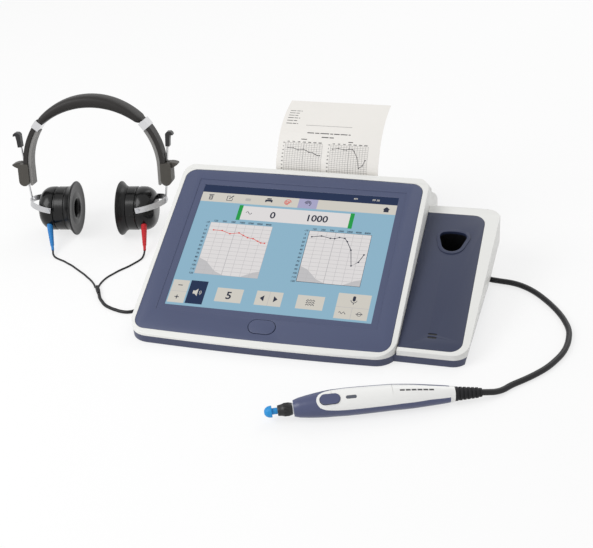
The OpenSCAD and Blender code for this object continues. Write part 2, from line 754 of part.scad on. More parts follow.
// Knurled ring that clamps the sound tube
nose_ribs = 28;
module probe_nose() {
    color(black) front_axis(-60.6) difference() {
        rotate_extrude() polygon([[0, 0], [4.6, 0], [4.9, 1], [5.2, 3.4], [6.1, 6.2], [6.1, 10], [5.3,
            13.3], [0, 13.3]]);
        for (i = [0:nose_ribs - 1]) rotate([0, 0, i * 360 / nose_ribs])
            translate([6.15, 0, 3]) cylinder(h = 8.6, r = 0.45, $fn = 6);
        translate([0, 0, -1]) cylinder(h = 16, r = 2.45);
    }
}
module probe_tube() {
    color(grey) front_axis(-70) difference() {
        union() {
            cylinder(h = 28, r = 2.4);
            translate([0, 0, 22.9]) cylinder(h = 3, r = 5);
        }
        translate([0, 0, -1]) cylinder(h = 26, r = 1.1);
    }
}
// Soft mushroom tip pushed on the sound tube
module ear_tip() {
    color([0.1, 0.55, 0.85]) front_axis(-72.8) difference() {
        rotate_extrude() polygon([[0, 0], [1.9, 0.2], [3.7, 1.4], [4.8, 3.2], [5.3, 5.4], [5.4, 6.6],
            [5.1, 7.1], [3.4, 6.3],
            [2.9, 6.8], [2.9, 12.1], [0, 12.1]]);
        translate([0, 0, 2.8]) cylinder(h = 12, r = 2.41);
        translate([0, 0, -1]) cylinder(h = 6, r = 1.1);
    }
}
// Receivers, microphone and their carrier
module probe_core() {
    color(grey) {
        front_axis(-41.8) cylinder(h = 26, r = 6.2);
        mid_axis(-10) translate([-4, -6, 0]) cube([4, 12, 60]);
    }
}
// Ribbed sleeve where the cable leaves the probe
relief_ribs = 6;
module probe_strain_relief() {
    color(black) back_axis(96.4) {
        rotate_extrude() polygon(concat([[0, 0], [4.9, 0], [4.9, 2.1], [6.6, 2.1]],
            [for (i = [0:relief_ribs - 1]) for (k = [[0, 0], [2.2, -0.1], [2.6, -0.9], [3.6, -0.95]])
                [6.55 - i * 0.33 + k[1], 3 + i * 3.7 + k[0]]],
            [[4.2, 25.2], [4, 27.1], [0, 27.1]]));
    }
}

// Cables. Routes are on the table, seen from the console's left front corner.
probe_route = [[359.6, -30.6, 7.3], [365, -28, 6.3], [371, -24, 4.6], [377, -18, 3.2], [384, -9, 2.9],
    [394, 1, 2.9],
    [404, 12, 2.9], [413, 24, 2.9], [420, 37, 2.9], [425, 49, 2.9], [428, 62, 2.9], [429, 76, 2.9], [428,
        89, 2.9],
    [424, 102, 2.9], [418, 115, 2.9], [410, 128, 2.9], [401, 140, 2.9], [390, 152, 2.9], [378, 161, 2.9],
    [366, 166, 2.9], [352, 168, 2.9], [341, 170, 2.9], [332, 176, 2.9], [326, 186, 2.9], [324, 198, 2.9],
    [324, 212, 2.9], [322, 228, 2.9], [317, 243, 2.9], [309, 257, 2.9], [298, 269, 2.9], [284, 278, 2.9],
    [268, 282, 2.9], [250, 283, 3], [232, 283, 3.4], [217.9, 283, 3.7]];
probe_tail = [[206.1, 283, 10.1], [198, 283, 9.6], [191, 283, 8.2], [184, 283, 6.9], [178, 283, 6.2]];
left_route = [[-145.1, 147.3, 4.2], [-143, 143, 2.6], [-139, 139, 1.5], [-133, 136, 1.2], [-126, 133, 1.2],
    [-119, 129, 1.2], [-112, 125, 1.2], [-105, 120, 1.2], [-98, 115, 1.2], [-91, 110, 1.2], [-85, 105, 1.2],
    [-79, 100, 1.2], [-74, 95, 1.2], [-70, 90, 1.4], [-67.4, 86, 1.8]];
right_route = [[-40.8, 163.8, 4.2], [-40, 159, 2.6], [-40, 153, 1.5], [-42, 147, 1.2], [-45, 141, 1.2],
    [-48, 135, 1.2],
    [-52, 129, 1.2], [-56, 123, 1.2], [-59, 117, 1.2], [-62, 111, 1.2], [-64, 105, 1.2], [-65, 99, 1.2],
    [-65, 93, 1.4], [-64.4, 88, 1.8]];
main_route = [[-57.9, 74, 1.9], [-54, 67, 1.8], [-49, 61, 1.8], [-43, 55, 1.8], [-36, 51, 1.8], [-28, 48,
    1.8],
    [-19, 46, 1.8], [-12, 47, 1.8], [-7, 51, 1.8], [-4, 59, 1.8], [-3.5, 70, 1.8], [-3.5, 85, 1.8],
        [-3.5, 110, 1.8],
    [-3.5, 140, 1.8], [-3.5, 170, 1.8], [-3.5, 200, 1.8], [-3.5, 225, 1.8], [-3, 245, 1.8], [-1, 258, 1.8],
    [4, 269, 1.8], [12, 278, 1.8], [21, 284, 2], [29, 286, 2.4], [36.3, 286, 2.6]];
main_tail = [[43.7, 286, 6.7], [51, 286, 6.3], [58, 286, 5.4], [64, 286, 4.8]];

// Tube swept along points, with frames carried from ring to ring
function unit(v) = v / norm(v);
function run_dir(p, i) = unit(p[min(len(p) - 1, i + 1)] - p[max(0, i - 1)]);
function carry(n, t) = unit(n - (n * t) * t);
function frames(p, i, n) = i == len(p) ? [] : let (t = run_dir(p, i), m = carry(n, t))
    concat([[m, cross(t, m)]], frames(p, i + 1, m));
module tube(p, r, sides) {
    f = frames(p, 0, [0.1, 0.2, 1]);
    last = len(p) - 1;
    polyhedron(
        points = [for (i = [0:last]) for (k = [0:sides - 1]) let (a = 360 * k / sides)
            p[i] + r * cos(a) * f[i][0] + r * sin(a) * f[i][1]],
        faces = concat([[for (k = [sides - 1:-1:0]) k]], [[for (k = [0:sides - 1]) last * sides + k]],
            [for (i = [0:last - 1]) for (k = [0:sides - 1]) let (a = i * sides + k,
                b = i * sides + (k + 1) % sides)
                [a, b, b + sides]],
            [for (i = [0:last - 1]) for (k = [0:sides - 1]) let (a = i * sides + k,
                b = i * sides + (k + 1) % sides)
                [a, b + sides, a + sides]]));
}

// Round coil in two layers: spirals in on the table, climbs a layer in half a turn, spirals out again
coil_rings = 24;
coil_sides = 6;
tie_t = 0.7;
function coil_pos(turns, d, gap, r_out, k) = let (half = turns / 2, u = k * turns, pitch = d + gap)
    let (climb = min(1, max(0, (u - half + 0.25) / 0.5)))
    [r_out - pitch * min(u, turns - u), tie_t + d / 2 + 0.1 + pitch * climb * climb * (3 - 2 * climb)];
function coil_path(cx, cy, start, way, turns, d, gap, r_out) = let (n = round(turns * coil_rings))
    [for (i = [0:n]) let (q = coil_pos(turns, d, gap, r_out, i / n), a = start + way * 360 * turns * i / n)
        [cx + q[0] * cos(a), cy + q[0] * sin(a), q[1]]];
// Both ends of a coil lie at its front and run straight along X for one diameter
function with_ends(p, way, d) = concat([p[0] - [way * d, 0, 0]], p, [p[len(p) - 1] + [way * d, 0, 0]]);
// Least distance between points of one coil that are more than a third of a turn apart
function self_gap(p, d) = min([for (i = [0:len(p) - 1]) for (j = [i + 8:1:len(p) - 1])
    norm(p[i] - p[j])]) - d;

probe_coil_r = 38.5;
probe_coil_turns = 5;
probe_coil_gap = 0.6;
probe_coil_x = 212;
probe_coil_y = 321.5;
probe_coil_path = coil_path(probe_coil_x, probe_coil_y, -90, -1, probe_coil_turns, probe_cable_d,
    probe_coil_gap, probe_coil_r);
headset_coil_r = 28;
headset_coil_turns = 8;
headset_coil_gap = 0.5;
headset_coil_x = 40;
headset_coil_y = 314;
headset_coil_path = coil_path(headset_coil_x, headset_coil_y, -90, 1, headset_coil_turns, main_cable_d,
    headset_coil_gap,
    headset_coil_r);
echo(probe_coil_gap_mm = self_gap(probe_coil_path, probe_cable_d));
echo(headset_coil_gap_mm = self_gap(headset_coil_path, main_cable_d));

module probe_cable() {
    color(black) in_console() {
        tube(probe_route, probe_cable_d / 2, 8);
        tube(probe_tail, probe_cable_d / 2, 8);
    }
}
module probe_cable_coil() {
    color(black) in_console() tube(with_ends(probe_coil_path, -1, probe_cable_d), probe_cable_d / 2,
        coil_sides);
}
module headset_cable() {
    color(black) in_console() {
        tube(main_route, main_cable_d / 2, 8);
        tube(main_tail, main_cable_d / 2, 8);
    }
}
module headset_cable_coil() {
    color(black) in_console() tube(with_ends(headset_coil_path, 1, main_cable_d), main_cable_d / 2,
        coil_sides);
}
module branch_leads() {
    color(black) in_console() {
        tube(left_route, lead_d / 2, 8);
        tube(right_route, lead_d / 2, 8);
    }
}

// Turned pieces laid along a line from p to q
module along(p, q) {
    d = q - p;
    translate(p) rotate([0, acos(d[2] / norm(d)), atan2(d[1], d[0])]) children();
}
module lead_junction() {
    color(black) in_console() along([-65.6, 86.6, 2.35], [-58.2, 74.4, 2.35]) rotate_extrude()
        polygon([[0, 0], [2.1, 0], [2.3, 1.5], [2.3, 9], [1.9, 14], [0, 14]]);
}
// Round plugs with a grip, a nose and a tapered sleeve
module plug(len, r, nose_l, nose_r) {
    rotate_extrude() polygon([[0, 0], [r * 0.5, 0], [r * 0.7, 9], [r * 0.98, 10], [r, 11], [r, len - 1],
        [r - 0.8, len],
        [nose_r, len], [nose_r, len + nose_l - 0.6], [nose_r - 0.6, len + nose_l], [0, len + nose_l]]);
}
module probe_plug() {
    color(black) in_console() along([177.9, 283, 6.15], [130, 283, 6.15]) plug(34, 6.1, 10, 4.4);
}
module headset_plug() {
    color(black) in_console() along([64.1, 286, 4.75], [110, 286, 4.75]) plug(30, 4.7, 11, 3.15);
}
// Bands round the two coils
module coil_band(x, y, r_coil, turns_in, d, gap, w) {
    pitch = d + gap;
    r_in = sqrt(pow(r_coil - turns_in * pitch - d / 2, 2) - w * w / 4) - 0.5;
    r_out = r_coil - pitch / 2 + d / 2 + 0.3;
    h = pitch + d + 0.3;
    translate([x, y, 0]) difference() {
        translate([-w / 2, r_in - tie_t, 0]) cube([w, r_out - r_in + 2 * tie_t, h + 2 * tie_t]);
        translate([-w, r_in, tie_t]) cube([2 * w, r_out - r_in, h]);
    }
}
module cable_ties() {
    color(black) in_console() {
        coil_band(probe_coil_x, probe_coil_y, probe_coil_r, probe_coil_turns / 2, probe_cable_d,
            probe_coil_gap, 10);
        coil_band(headset_coil_x, headset_coil_y, headset_coil_r, headset_coil_turns / 2 - 0.5,
            main_cable_d,
            headset_coil_gap, 8);
    }
}

// Headset. Local axes: x to its right, y to the back, z up along the leaning headband, from the cup axis.
module in_headset() {
    in_console() translate([headset_x, headset_y, cup_axis_h]) rotate([0, 0, headset_yaw])
        rotate([-headset_lean, 0, 0]) children();
}
module both_sides() {
    children();
    mirror([1, 0, 0]) children();
}
// Turned round the cup axis, with stations [distance from the middle, radius] on the right side
module on_cup_axis() {
    rotate([0, 90, 0]) children();
}
pivot_a = 52;
pivot_h = 5;
yoke_r = 26.6;
yoke_slope = 11;

module band_spring() {
    color([0.2, 0.19, 0.19]) in_headset() difference() {
        translate([0, 8, 0]) rotate([90, 0, 0]) linear_extrude(height = 16) {
            difference() {
                intersection() {
                    translate([0, band_h]) circle(r = band_r, $fn = 128);
                    translate([-100, band_h]) square([200, 100]);
                }
                translate([0, band_h]) circle(r = band_r - 5, $fn = 128);
                translate([0, band_h]) polygon([[0, 0], [-130, 110], [130, 110]]);
            }
            difference() {
                intersection() {
                    translate([0, band_h]) circle(r = band_r - 1.2, $fn = 128);
                    translate([0, band_h]) polygon([[0, 0], [-135, 110], [135, 110]]);
                }
                translate([0, band_h]) circle(r = band_r - 2.6, $fn = 128);
            }
            translate([band_r - 5, 40]) square([5, band_h - 39.9]);
            translate([-band_r, 40]) square([5, band_h - 39.9]);
        }
        both_sides() translate([0, 1.5, 0]) rotate([90, 0, 0]) linear_extrude(height = 3)
            polygon([[79, 39], [90, 39], [90, 76], [81, 76]]);
    }
}
// Head pad under and over the spring, thickest in the middle
pad_half = 48.3;
function pad_under(a) = 14.3 - 6 * pow(a / pad_half, 2);
module band_pad() {
    color(black) in_headset() translate([0, 0, band_h]) rotate([90, 0, 0]) for (w = [[-12, 24, 0], [-13,
        26, 0.9]])
        translate([0, 0, w[0]]) linear_extrude(height = w[1]) difference() {
            polygon(concat(
                [for (i = [0:20]) let (a = -pad_half + 2 * pad_half * i / 20) (band_r - w[2]) * [sin(a),
                    cos(a)]],
                [for (i = [20:-1:0]) let (a = -pad_half + 2 * pad_half * i / 20)
                    (band_r - pad_under(a) + w[2]) * [sin(a), cos(a)]]));
            difference() {
                circle(r = band_r - 1.1, $fn = 128);
                circle(r = band_r - 2.7, $fn = 128);
            }
        }
}
module band_sleeves() {
    color(steel) in_headset() both_sides() translate([0, 0, band_h]) rotate([0, -38, 0]) translate([78.3,
        0, 0])
        difference() {
            cube([8.9, 17.6, 9.4], center = true);
            translate([1.2, 0, 0]) cube([5.4, 16.2, 20], center = true);
        }
}
module arm_liners() {
    color(grey) in_headset() both_sides() translate([0, 7, 0]) rotate([90, 0, 0])
        linear_extrude(height = 14) {
        intersection() {
            difference() {
                translate([0, band_h]) circle(r = band_r - 5.4, $fn = 128);
                translate([0, band_h]) circle(r = band_r - 8.9, $fn = 128);
            }
            translate([0, band_h]) polygon([[0, 0], [100, 0], [100, 68]]);
        }
        translate([band_r - 8.9, 30.5]) square([3.5, band_h - 30.4]);
        translate([band_r - 7.15, 30.5]) circle(r = 1.75);
    }
}
// The wire slants, so the block's slot and a groove in the spring leave it room over the whole slide
wire_slack = [[77.2, 24], [83.8, 24], [84.6, 40], [86.3, 56], [86.3, 60], [80.3, 60], [79.6, 46], [77.6,
    34]];
// Slider blocks at the ends of the band, with a slot for the wire and a thumb horn
module slider_blocks() {
    color([0.31, 0.3, 0.28]) in_headset() both_sides() difference() {
        union() {
            translate([0, 9, 0]) rotate([90, 0, 0]) linear_extrude(height = 18) {
                translate([76.7, 34.5]) square([12.1, 19.5]);
                translate([82.75, 34.5]) circle(r = 6.05);
            }
            translate([0, 6, 0]) rotate([90, 0, 0]) linear_extrude(height = 12)
                polygon([[86, 54], [86, 47.5], [89.5, 48.5], [93, 50], [96, 52], [95.6, 53.4], [92,
                    54.6], [88, 55]]);
        }
        translate([band_r - 5.4, -8.05, 39.9]) cube([5.45, 16.1, 30]);
        translate([0, 1.4, 0]) rotate([90, 0, 0]) linear_extrude(height = 2.8) polygon(wire_slack);
    }
}
// Bent wire from the yoke up through the block, in three straight lengths
wire_foot = [76.6, 0, 10.6];
wire_low = [78.9, 0, 12.4];
wire_knee = [80.6, 0, 27];
wire_top = [85.6, 0, 78];
module rod(p, q, r, more = 0) {
    along(p, q) translate([0, 0, -more]) cylinder(h = norm(q - p) + 2 * more, r = r);
}
module hanger_wires() {
    color(steel) in_headset() both_sides() {
        rod(wire_foot, wire_low, wire_d / 2);
        rod(wire_low, wire_knee, wire_d / 2);
        rod(wire_knee, wire_top, wire_d / 2);
        for (bend = [wire_low, wire_knee]) translate(bend) sphere(r = wire_d / 2 + 0.15);
    }
}
module wire_clips() {
    color(black) in_headset() both_sides() difference() {
        translate([0, 4, 0]) rotate([90, 0, 0]) linear_extrude(height = 8)
            polygon([[83.4, 72.8], [87.8, 72.4], [88.4, 80], [89.4, 85.5], [92.4, 85.2], [92, 87.6],
                [89.8, 89.4],
                [86, 89.2], [84, 87]]);
        rod(wire_knee, wire_top, wire_d / 2 + 0.02, 0.1);
    }
}
// Fork yokes: a half ring of strip round each cup, sloping down to its two pivots
module fork_yokes() {
    color(steel) in_headset() both_sides() translate([pivot_a, 0, pivot_h]) rotate([0, -yoke_slope, 0]) {
        difference() {
            rotate([0, 0, -90]) rotate_extrude(angle = 180, $fn = 96)
                translate([yoke_r, -3.2]) square([1.2, 6.4]);
            for (y = [-1, 1]) translate([0, y * yoke_r, 0]) rotate([90, 0, 0]) cylinder(h = 6, r = 1.3,
                center = true);
        }
        for (y = [-1, 1]) difference() {
            translate([-3, y * (yoke_r + 0.6) - 0.6, -3.2]) cube([3.4, 1.2, 6.4]);
            translate([0, y * yoke_r, 0]) rotate([90, 0, 0]) cylinder(h = 6, r = 1.3, center = true);
        }
        translate([yoke_r - 0.4, -3, -1.2]) cube([2.6, 6, 3.6]);
    }
}
module yoke_pins() {
    color(steel) in_headset() both_sides() for (back = [0, 1])
        mirror([0, back, 0]) translate([pivot_a, yoke_r - 3.4, pivot_h]) rotate([-90, 0, 0]) {
            cylinder(h = 5.2, r = 1.25);
            translate([0, 0, 4.7]) cylinder(h = 1, r = 2.2);
        }
}
// Cup shells: a ring and a dome round the receiver, with bosses for the pivots
module cup_solid() {
    difference() {
        union() {
            on_cup_axis() rotate_extrude($fn = 96) polygon(concat([[0, 36], [24.6, 36], [25, 36.6], [25,
                46],
                [24.6, 46.6], [23.6, 47], [23.6, 48.4], [24.7, 49], [25, 49.6], [25, 54]],
                [for (i = [1:7]) let (a = 90 * i / 7) [12 + 13 * cos(a), 54 + 13.5 * sin(a)]], [[0,
                    67.5]]));
            for (y = [-1, 1]) translate([pivot_a, y * 24.2, pivot_h]) rotate([90, 0, 0])
                cylinder(h = 2.6, r = 3.4, center = true);
        }
        on_cup_axis() translate([0, 0, 35]) cylinder(h = 18, r = 21.5);
        on_cup_axis() translate([0, 0, 52]) cylinder(h = 10, r1 = 21.5, r2 = 14);
        for (y = [-1, 1]) translate([pivot_a, y * 24.6, pivot_h]) rotate([90, 0, 0]) cylinder(h = 6,
            r = 1.3, center = true);
    }
}
// Soft rubber cushion: a wide flange with a flat foot, a waist and a bowl
module cushion_solid() {
    difference() {
        on_cup_axis() rotate_extrude($fn = 96) polygon([[11.5, 26.2], [14, 25.9], [24, 26.4], [29.6, 26],
            [31, 26.6],
            [31, 27.6], [29.8, 28.8], [27.6, 30.6], [25.8, 32.8], [24.9, 35], [24.8, 35.8], [10, 35.8],
                [9.6, 31], [10.2, 28]]);
        rotate([headset_lean, 0, 0]) translate([0, -50, -40 - cup_axis_h]) cube([60, 100, 40]);
    }
}
module receiver_solid() {
    on_cup_axis() {
        translate([0, 0, 36.2]) cylinder(h = 3, r = 21);
        translate([0, 0, 39]) cylinder(h = 11, r = 12);
    }
}
module relief_solid() {
    rotate_extrude() polygon(concat([[0, -9], [3.2, -9], [3.3, 4]],
        [for (i = [0:6]) for (k = [[0, 0.15], [2.4, 0.1], [2.7, -0.35], [3.3, -0.35]])
            [3.1 - i * 0.18 + k[1], 5 + i * 3.5 + k[0]]],
        [[1.6, 30.5], [1.5, 35.6], [0, 35.6]]));
}
left_relief_end = [-145.3, 147.7, 4.4];
left_relief_root = [-160, 176.9, 19.6];
right_relief_end = [-40.9, 164.5, 4.5];
right_relief_root = [-51.6, 195, 20.3];
module left_cup_shell() {
    color(black) difference() {
        in_headset() mirror([1, 0, 0]) cup_solid();
        in_console() along(left_relief_root, left_relief_end) translate([0, 0, -12]) cylinder(h = 20,
            r = 3.35);
    }
}
module right_cup_shell() {
    color(black) difference() {
        in_headset() cup_solid();
        in_console() along(right_relief_root, right_relief_end) translate([0, 0, -12]) cylinder(h = 20,
            r = 3.35);
    }
}
module left_cushion() {
    color(black) in_headset() mirror([1, 0, 0]) cushion_solid();
}
module right_cushion() {
    color(black) in_headset() cushion_solid();
}
module left_receiver() {
    color(grey) in_headset() mirror([1, 0, 0]) receiver_solid();
}
module right_receiver() {
    color(grey) in_headset() receiver_solid();
}
module left_strain_relief() {
    color([0.2, 0.5, 0.8]) in_console() along(left_relief_root, left_relief_end) relief_solid();
}
module right_strain_relief() {
    color([0.75, 0.15, 0.2]) in_console() along(right_relief_root, right_relief_end) relief_solid();
}

base_tray();
rubber_feet();
upper_housing();
front_panel();
display_module();
touch_glass();
select_button();
cradle_housing();
cradle_panel();
probe_well();
cradle_slots();
rear_cover();
printer_lid();
paper_strip();
platen_roller();
paper_roll();
printer_frame();
printer_motor();
motor_pinion();
lid_hinge_pin();
main_board();
air_pump();
loudspeaker();
rear_sockets();
case_screws();
probe_lower_shell();
probe_upper_shell();
probe_nose();
probe_tube();
ear_tip();
probe_button();
probe_lens();
probe_core();
probe_strain_relief();
probe_cable();
probe_cable_coil();
probe_plug();
band_spring();
band_pad();
band_sleeves();
arm_liners();
slider_blocks();
hanger_wires();
wire_clips();
fork_yokes();
yoke_pins();
left_cup_shell();
right_cup_shell();
left_cushion();
right_cushion();
left_receiver();
right_receiver();
left_strain_relief();
right_strain_relief();
lead_junction();
branch_leads();
headset_cable();
headset_cable_coil();
headset_plug();
cable_ties();
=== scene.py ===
import math

import bmesh
import bpy
from mathutils import Matrix, Vector


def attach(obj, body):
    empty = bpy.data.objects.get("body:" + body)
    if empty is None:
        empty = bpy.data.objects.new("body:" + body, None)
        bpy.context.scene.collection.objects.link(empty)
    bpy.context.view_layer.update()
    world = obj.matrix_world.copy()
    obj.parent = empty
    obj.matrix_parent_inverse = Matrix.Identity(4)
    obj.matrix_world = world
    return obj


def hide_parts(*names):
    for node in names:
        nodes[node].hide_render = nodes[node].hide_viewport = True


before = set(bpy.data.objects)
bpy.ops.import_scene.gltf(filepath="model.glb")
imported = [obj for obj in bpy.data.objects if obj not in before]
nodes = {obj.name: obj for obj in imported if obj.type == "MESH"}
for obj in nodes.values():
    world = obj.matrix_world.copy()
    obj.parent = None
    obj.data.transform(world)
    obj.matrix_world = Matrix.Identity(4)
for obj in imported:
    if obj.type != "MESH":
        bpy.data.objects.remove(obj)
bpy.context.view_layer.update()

# Base tray: the navy lower half of the case, moulded in ABS with a fine eroded grain.
# Its skirt hides the feet, and its lower edge is rounded. The white housings are screwed on from below.
mm = 0.001
console = Matrix.Translation((-77 * mm, -93 * mm, 0))


def paint(red, green, blue):
    """A colour as a screen shows it, each part from 0 to 255, for a shader's socket."""
    return [(part / 255) ** 2.2 for part in (red, green, blue)] + [1]


def shader_node(tree, kind, inputs, **settings):
    """Adds one shader node. An input is a value, or the output that feeds it."""
    node = tree.nodes.new("ShaderNode" + kind)
    for key, value in settings.items():
        setattr(node, key, value)
    for key, value in inputs.items():
        if isinstance(value, bpy.types.NodeSocket):
            tree.links.new(value, node.inputs[key])
        else:
            node.inputs[key].default_value = value
    return node.outputs


def new_material(name, **uniform):
    """A material with one shader, whose even values are set on its own sockets."""
    material = bpy.data.materials.new(name)
    material.use_nodes = True
    shader = material.node_tree.nodes["Principled BSDF"]
    for key, value in uniform.items():
        shader.inputs[key.replace("_", " ")].default_value = value
    place = shader_node(material.node_tree, "TexCoord", {})["Object"]
    return material, material.node_tree, shader, place


def two_tone(tree, factor, dark, light):
    """Blends two colours by a pattern."""
    return shader_node(tree, "Mix", {0: factor, 6: dark, 7: light}, data_type="RGBA")[2]


def spread(colour, part):
    """The same colour a little darker and a little lighter."""
    return [c * (1 - part) for c in colour[:3]] + [1], [min(1, c * (1 + part)) for c in colour[:3]] + [1]


def moulded_plastic(name, colour, gloss=0.4, grain=0.4, relief=0.1, flow=0.04, **uniform):
    """Plastic from the mould: eroded grain this many mm wide, faint flow marks, slightly uneven gloss."""
    material, tree, shader, place = new_material(name, **uniform)
    marks = shader_node(tree, "TexNoise", {"Vector": place, "Scale": 22, "Detail": 4})[0]
    erosion = shader_node(tree, "TexNoise", {"Vector": place, "Scale": 1 / (grain * mm), "Detail": 2})[0]
    wiped = shader_node(tree, "MapRange", {0: marks, 3: gloss - 0.05, 4: gloss + 0.05})[0]
    bump = shader_node(tree, "Bump", {"Strength": relief, "Distance": 0.1 * mm, "Height": erosion})[0]
    tree.links.new(two_tone(tree, marks, *spread(colour, flow)), shader.inputs["Base Color"])
    tree.links.new(wiped, shader.inputs["Roughness"])
    tree.links.new(bump, shader.inputs["Normal"])
    return material


def pick(*pieces):
    """Selects these objects and nothing else."""
    bpy.ops.object.select_all(action="DESELECT")
    for piece in pieces:
        piece.select_set(True)
    bpy.context.view_layer.objects.active = pieces[0]


def edit(piece, kind="VERT"):
    """Opens a piece in edit mode with all of it selected, for corners, edges or faces."""
    pick(piece)
    bpy.ops.object.mode_set(mode="EDIT")
    bpy.ops.mesh.select_mode(type=kind)
    bpy.ops.mesh.select_all(action="SELECT")


def edit_done():
    bpy.ops.object.mode_set(mode="OBJECT")


def solid_copy(node, name):
    """A copy of a solid of the frame with its facets joined, ready to be finished by hand."""
    piece = bpy.data.objects.new(name, nodes[node].data.copy())
    bpy.context.scene.collection.objects.link(piece)
    pick(piece)
    bpy.ops.mesh.customdata_custom_splitnormals_clear()
    edit(piece)
    bpy.ops.mesh.remove_doubles(threshold=0.002 * mm)
    bpy.ops.mesh.mark_sharp(clear=True)
    bpy.ops.mesh.dissolve_limited(angle_limit=math.radians(0.3))
    edit_done()
    return piece


def round_edges(piece, width, chosen, segments=3, sharpness=35):
    """Rounds the sharp outward edges whose middle, in mm from the console's corner, is a chosen one."""
    edit(piece, "EDGE")
    bpy.ops.mesh.select_all(action="DESELECT")
    shape = bmesh.from_edit_mesh(piece.data)
    back = console.inverted()
    for edge in shape.edges:
        x, y, z = back @ ((edge.verts[0].co + edge.verts[1].co) / 2) / mm
        turn = edge.calc_face_angle_signed(0)
        edge.select_set(turn > math.radians(sharpness) and chosen(x, y, z))
    bmesh.update_edit_mesh(piece.data)
    bpy.ops.mesh.bevel(offset=width * mm, segments=segments, affect="EDGES", clamp_overlap=True)
    edit_done()


def finish_piece(piece, body, material=None, replaced=(), smooth=35):
    """Shades a finished piece and gives it its material and its place on a body."""
    pick(piece)
    if piece.type == "MESH":
        bpy.ops.object.shade_smooth_by_angle(angle=math.radians(smooth))
    if material:
        piece.data.materials.clear()
        piece.data.materials.append(material)
    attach(piece, body)
    if replaced:
        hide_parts(*replaced)
    return piece


def finish_node(node, material):
    """A solid of the frame whose shape is right keeps it and gets its finish."""
    nodes[node].material_slots[0].material = material


def near_scoop(x, y, z):
    """True round the hollow at the cradle's back right, whose own edge stays crisp."""
    return math.dist((x, y, z), (354, 200, -5)) < 44


navy_base = moulded_plastic("navy_base_plastic", paint(66, 71, 96), gloss=0.45)
tray = solid_copy("base_tray", "base_tray_shell")
round_edges(tray, 0.8, lambda x, y, z: z < 0.9 and not near_scoop(x, y, z))
finish_piece(tray, "console", navy_base, ["base_tray"])

# Rubber feet and case screws: five soft pads glued under the tray, and eight zinc-plated screws
# whose heads sit in deep holes beside them.


def rubber(name, colour, gloss=0.6, grain=0.25, relief=0.25):
    """Soft rubber: matt, with a fine skin and dust that lightens it in patches."""
    return moulded_plastic(name, colour, gloss=gloss, grain=grain, relief=relief, flow=0.15, Specular_IOR_Level=0.3)


def bright_metal(name, colour, gloss=0.25, stretch=(1, 1, 1), relief=0.1):
    """Metal with fine drawing marks, long along the axis whose stretch is small."""
    material, tree, shader, place = new_material(name, Metallic=1)
    along = shader_node(tree, "Mapping", {"Vector": place, "Scale": stretch})[0]
    marks = shader_node(tree, "TexNoise", {"Vector": along, "Scale": 900, "Detail": 3})[0]
    wiped = shader_node(tree, "MapRange", {0: marks, 3: gloss - 0.06, 4: gloss + 0.1})[0]
    bump = shader_node(tree, "Bump", {"Strength": relief, "Distance": 0.02 * mm, "Height": marks})[0]
    tree.links.new(two_tone(tree, marks, *spread(colour, 0.06)), shader.inputs["Base Color"])
    tree.links.new(wiped, shader.inputs["Roughness"])
    tree.links.new(bump, shader.inputs["Normal"])
    return material


black_rubber = rubber("black_rubber", paint(30, 30, 32))
zinc_steel = bright_metal("zinc_steel", paint(190, 192, 196))
finish_node("rubber_feet", black_rubber)
finish_node("case_screws", zinc_steel)

# White housing of the main body: one thin-walled ABS moulding with a soft rounded rim round the
# panel's recess. The tray's bosses hold it.
white_plastic = moulded_plastic("white_plastic", paint(229, 229, 226), gloss=0.38, relief=0.06, flow=0.012)
panel_tilt = math.radians(22)
panel_foot = 12.25


def panel_height(y):
    """Height in mm of the panel's plane at a place behind the console's front edge."""
    return panel_foot + y * math.tan(panel_tilt)


def beyond(across, up, centre, half, corner=12):
    """Distance in mm of a point from the outline of a panel with round corners, below 0 inside it."""
    x, y = (abs(part - mid) - wide + corner for part, mid, wide in zip((across, up), centre, half))
    return math.hypot(max(x, 0), max(y, 0)) + min(max(x, y), 0) - corner


def on_rim(x, y, z):
    """True on the outer edge of the rim round the panel."""
    far = beyond(x, y / math.cos(panel_tilt), (138.75, 109.9), (129.75, 105))
    return far > 2.6 and abs(z - panel_height(y)) < 0.3


housing = solid_copy("upper_housing", "white_housing")
round_edges(housing, 1.8, on_rim, segments=4)
finish_piece(housing, "console", white_plastic, ["upper_housing"])

# Rear cover and printer lid: white mouldings behind the panel. The cover carries the strip above the
# panel and the hump over the printer, and the lid is let into the hump's back.
cover = solid_copy("rear_cover", "white_rear_cover")
round_edges(cover, 1.6, lambda x, y, z: z > 9.5 and (x < 6 or x > 272 or on_rim(x, y, z)), segments=4)
finish_piece(cover, "console", white_plastic, ["rear_cover"])
lid = solid_copy("printer_lid", "white_printer_lid")
finish_piece(lid, "printer_lid", white_plastic, ["printer_lid"])

# Front panel: a navy moulding laid in the housing's recess, with a sunk border round the screen and
# a hole for the select button.
navy_plastic = moulded_plastic("navy_plastic", paint(67, 75, 104), gloss=0.42, relief=0.08)
navy_panel = solid_copy("front_panel", "navy_front_panel")
panel = console @ Matrix.Translation((0, 0, panel_foot * mm)) @ Matrix.Rotation(panel_tilt, 4, "X")


def on_panel_face(x, y, z):
    """True on all the upper edges of the panel's face."""
    return panel_height(y) - 1.2 < z


round_edges(navy_panel, 0.62, on_panel_face, segments=3)
finish_piece(navy_panel, "console", navy_plastic, ["front_panel"])

# Select button: a navy cap with a rounded edge that stands just proud of the panel.
button = solid_copy("select_button", "navy_select_button")
round_edges(button, 0.6, lambda x, y, z: z > panel_height(y), segments=3)
finish_piece(button, "select_button", navy_plastic, ["select_button"])

# Display: a colour panel in a folded metal back. Its picture shows through the bonded touch glass:
# a grey-blue ground with a dark bar, a row of icons, a readout, two charts and a row of buttons.
finish_node("display_module", bright_metal("display_back", paint(168, 170, 174), gloss=0.4, stretch=(1, 0.05, 1)))


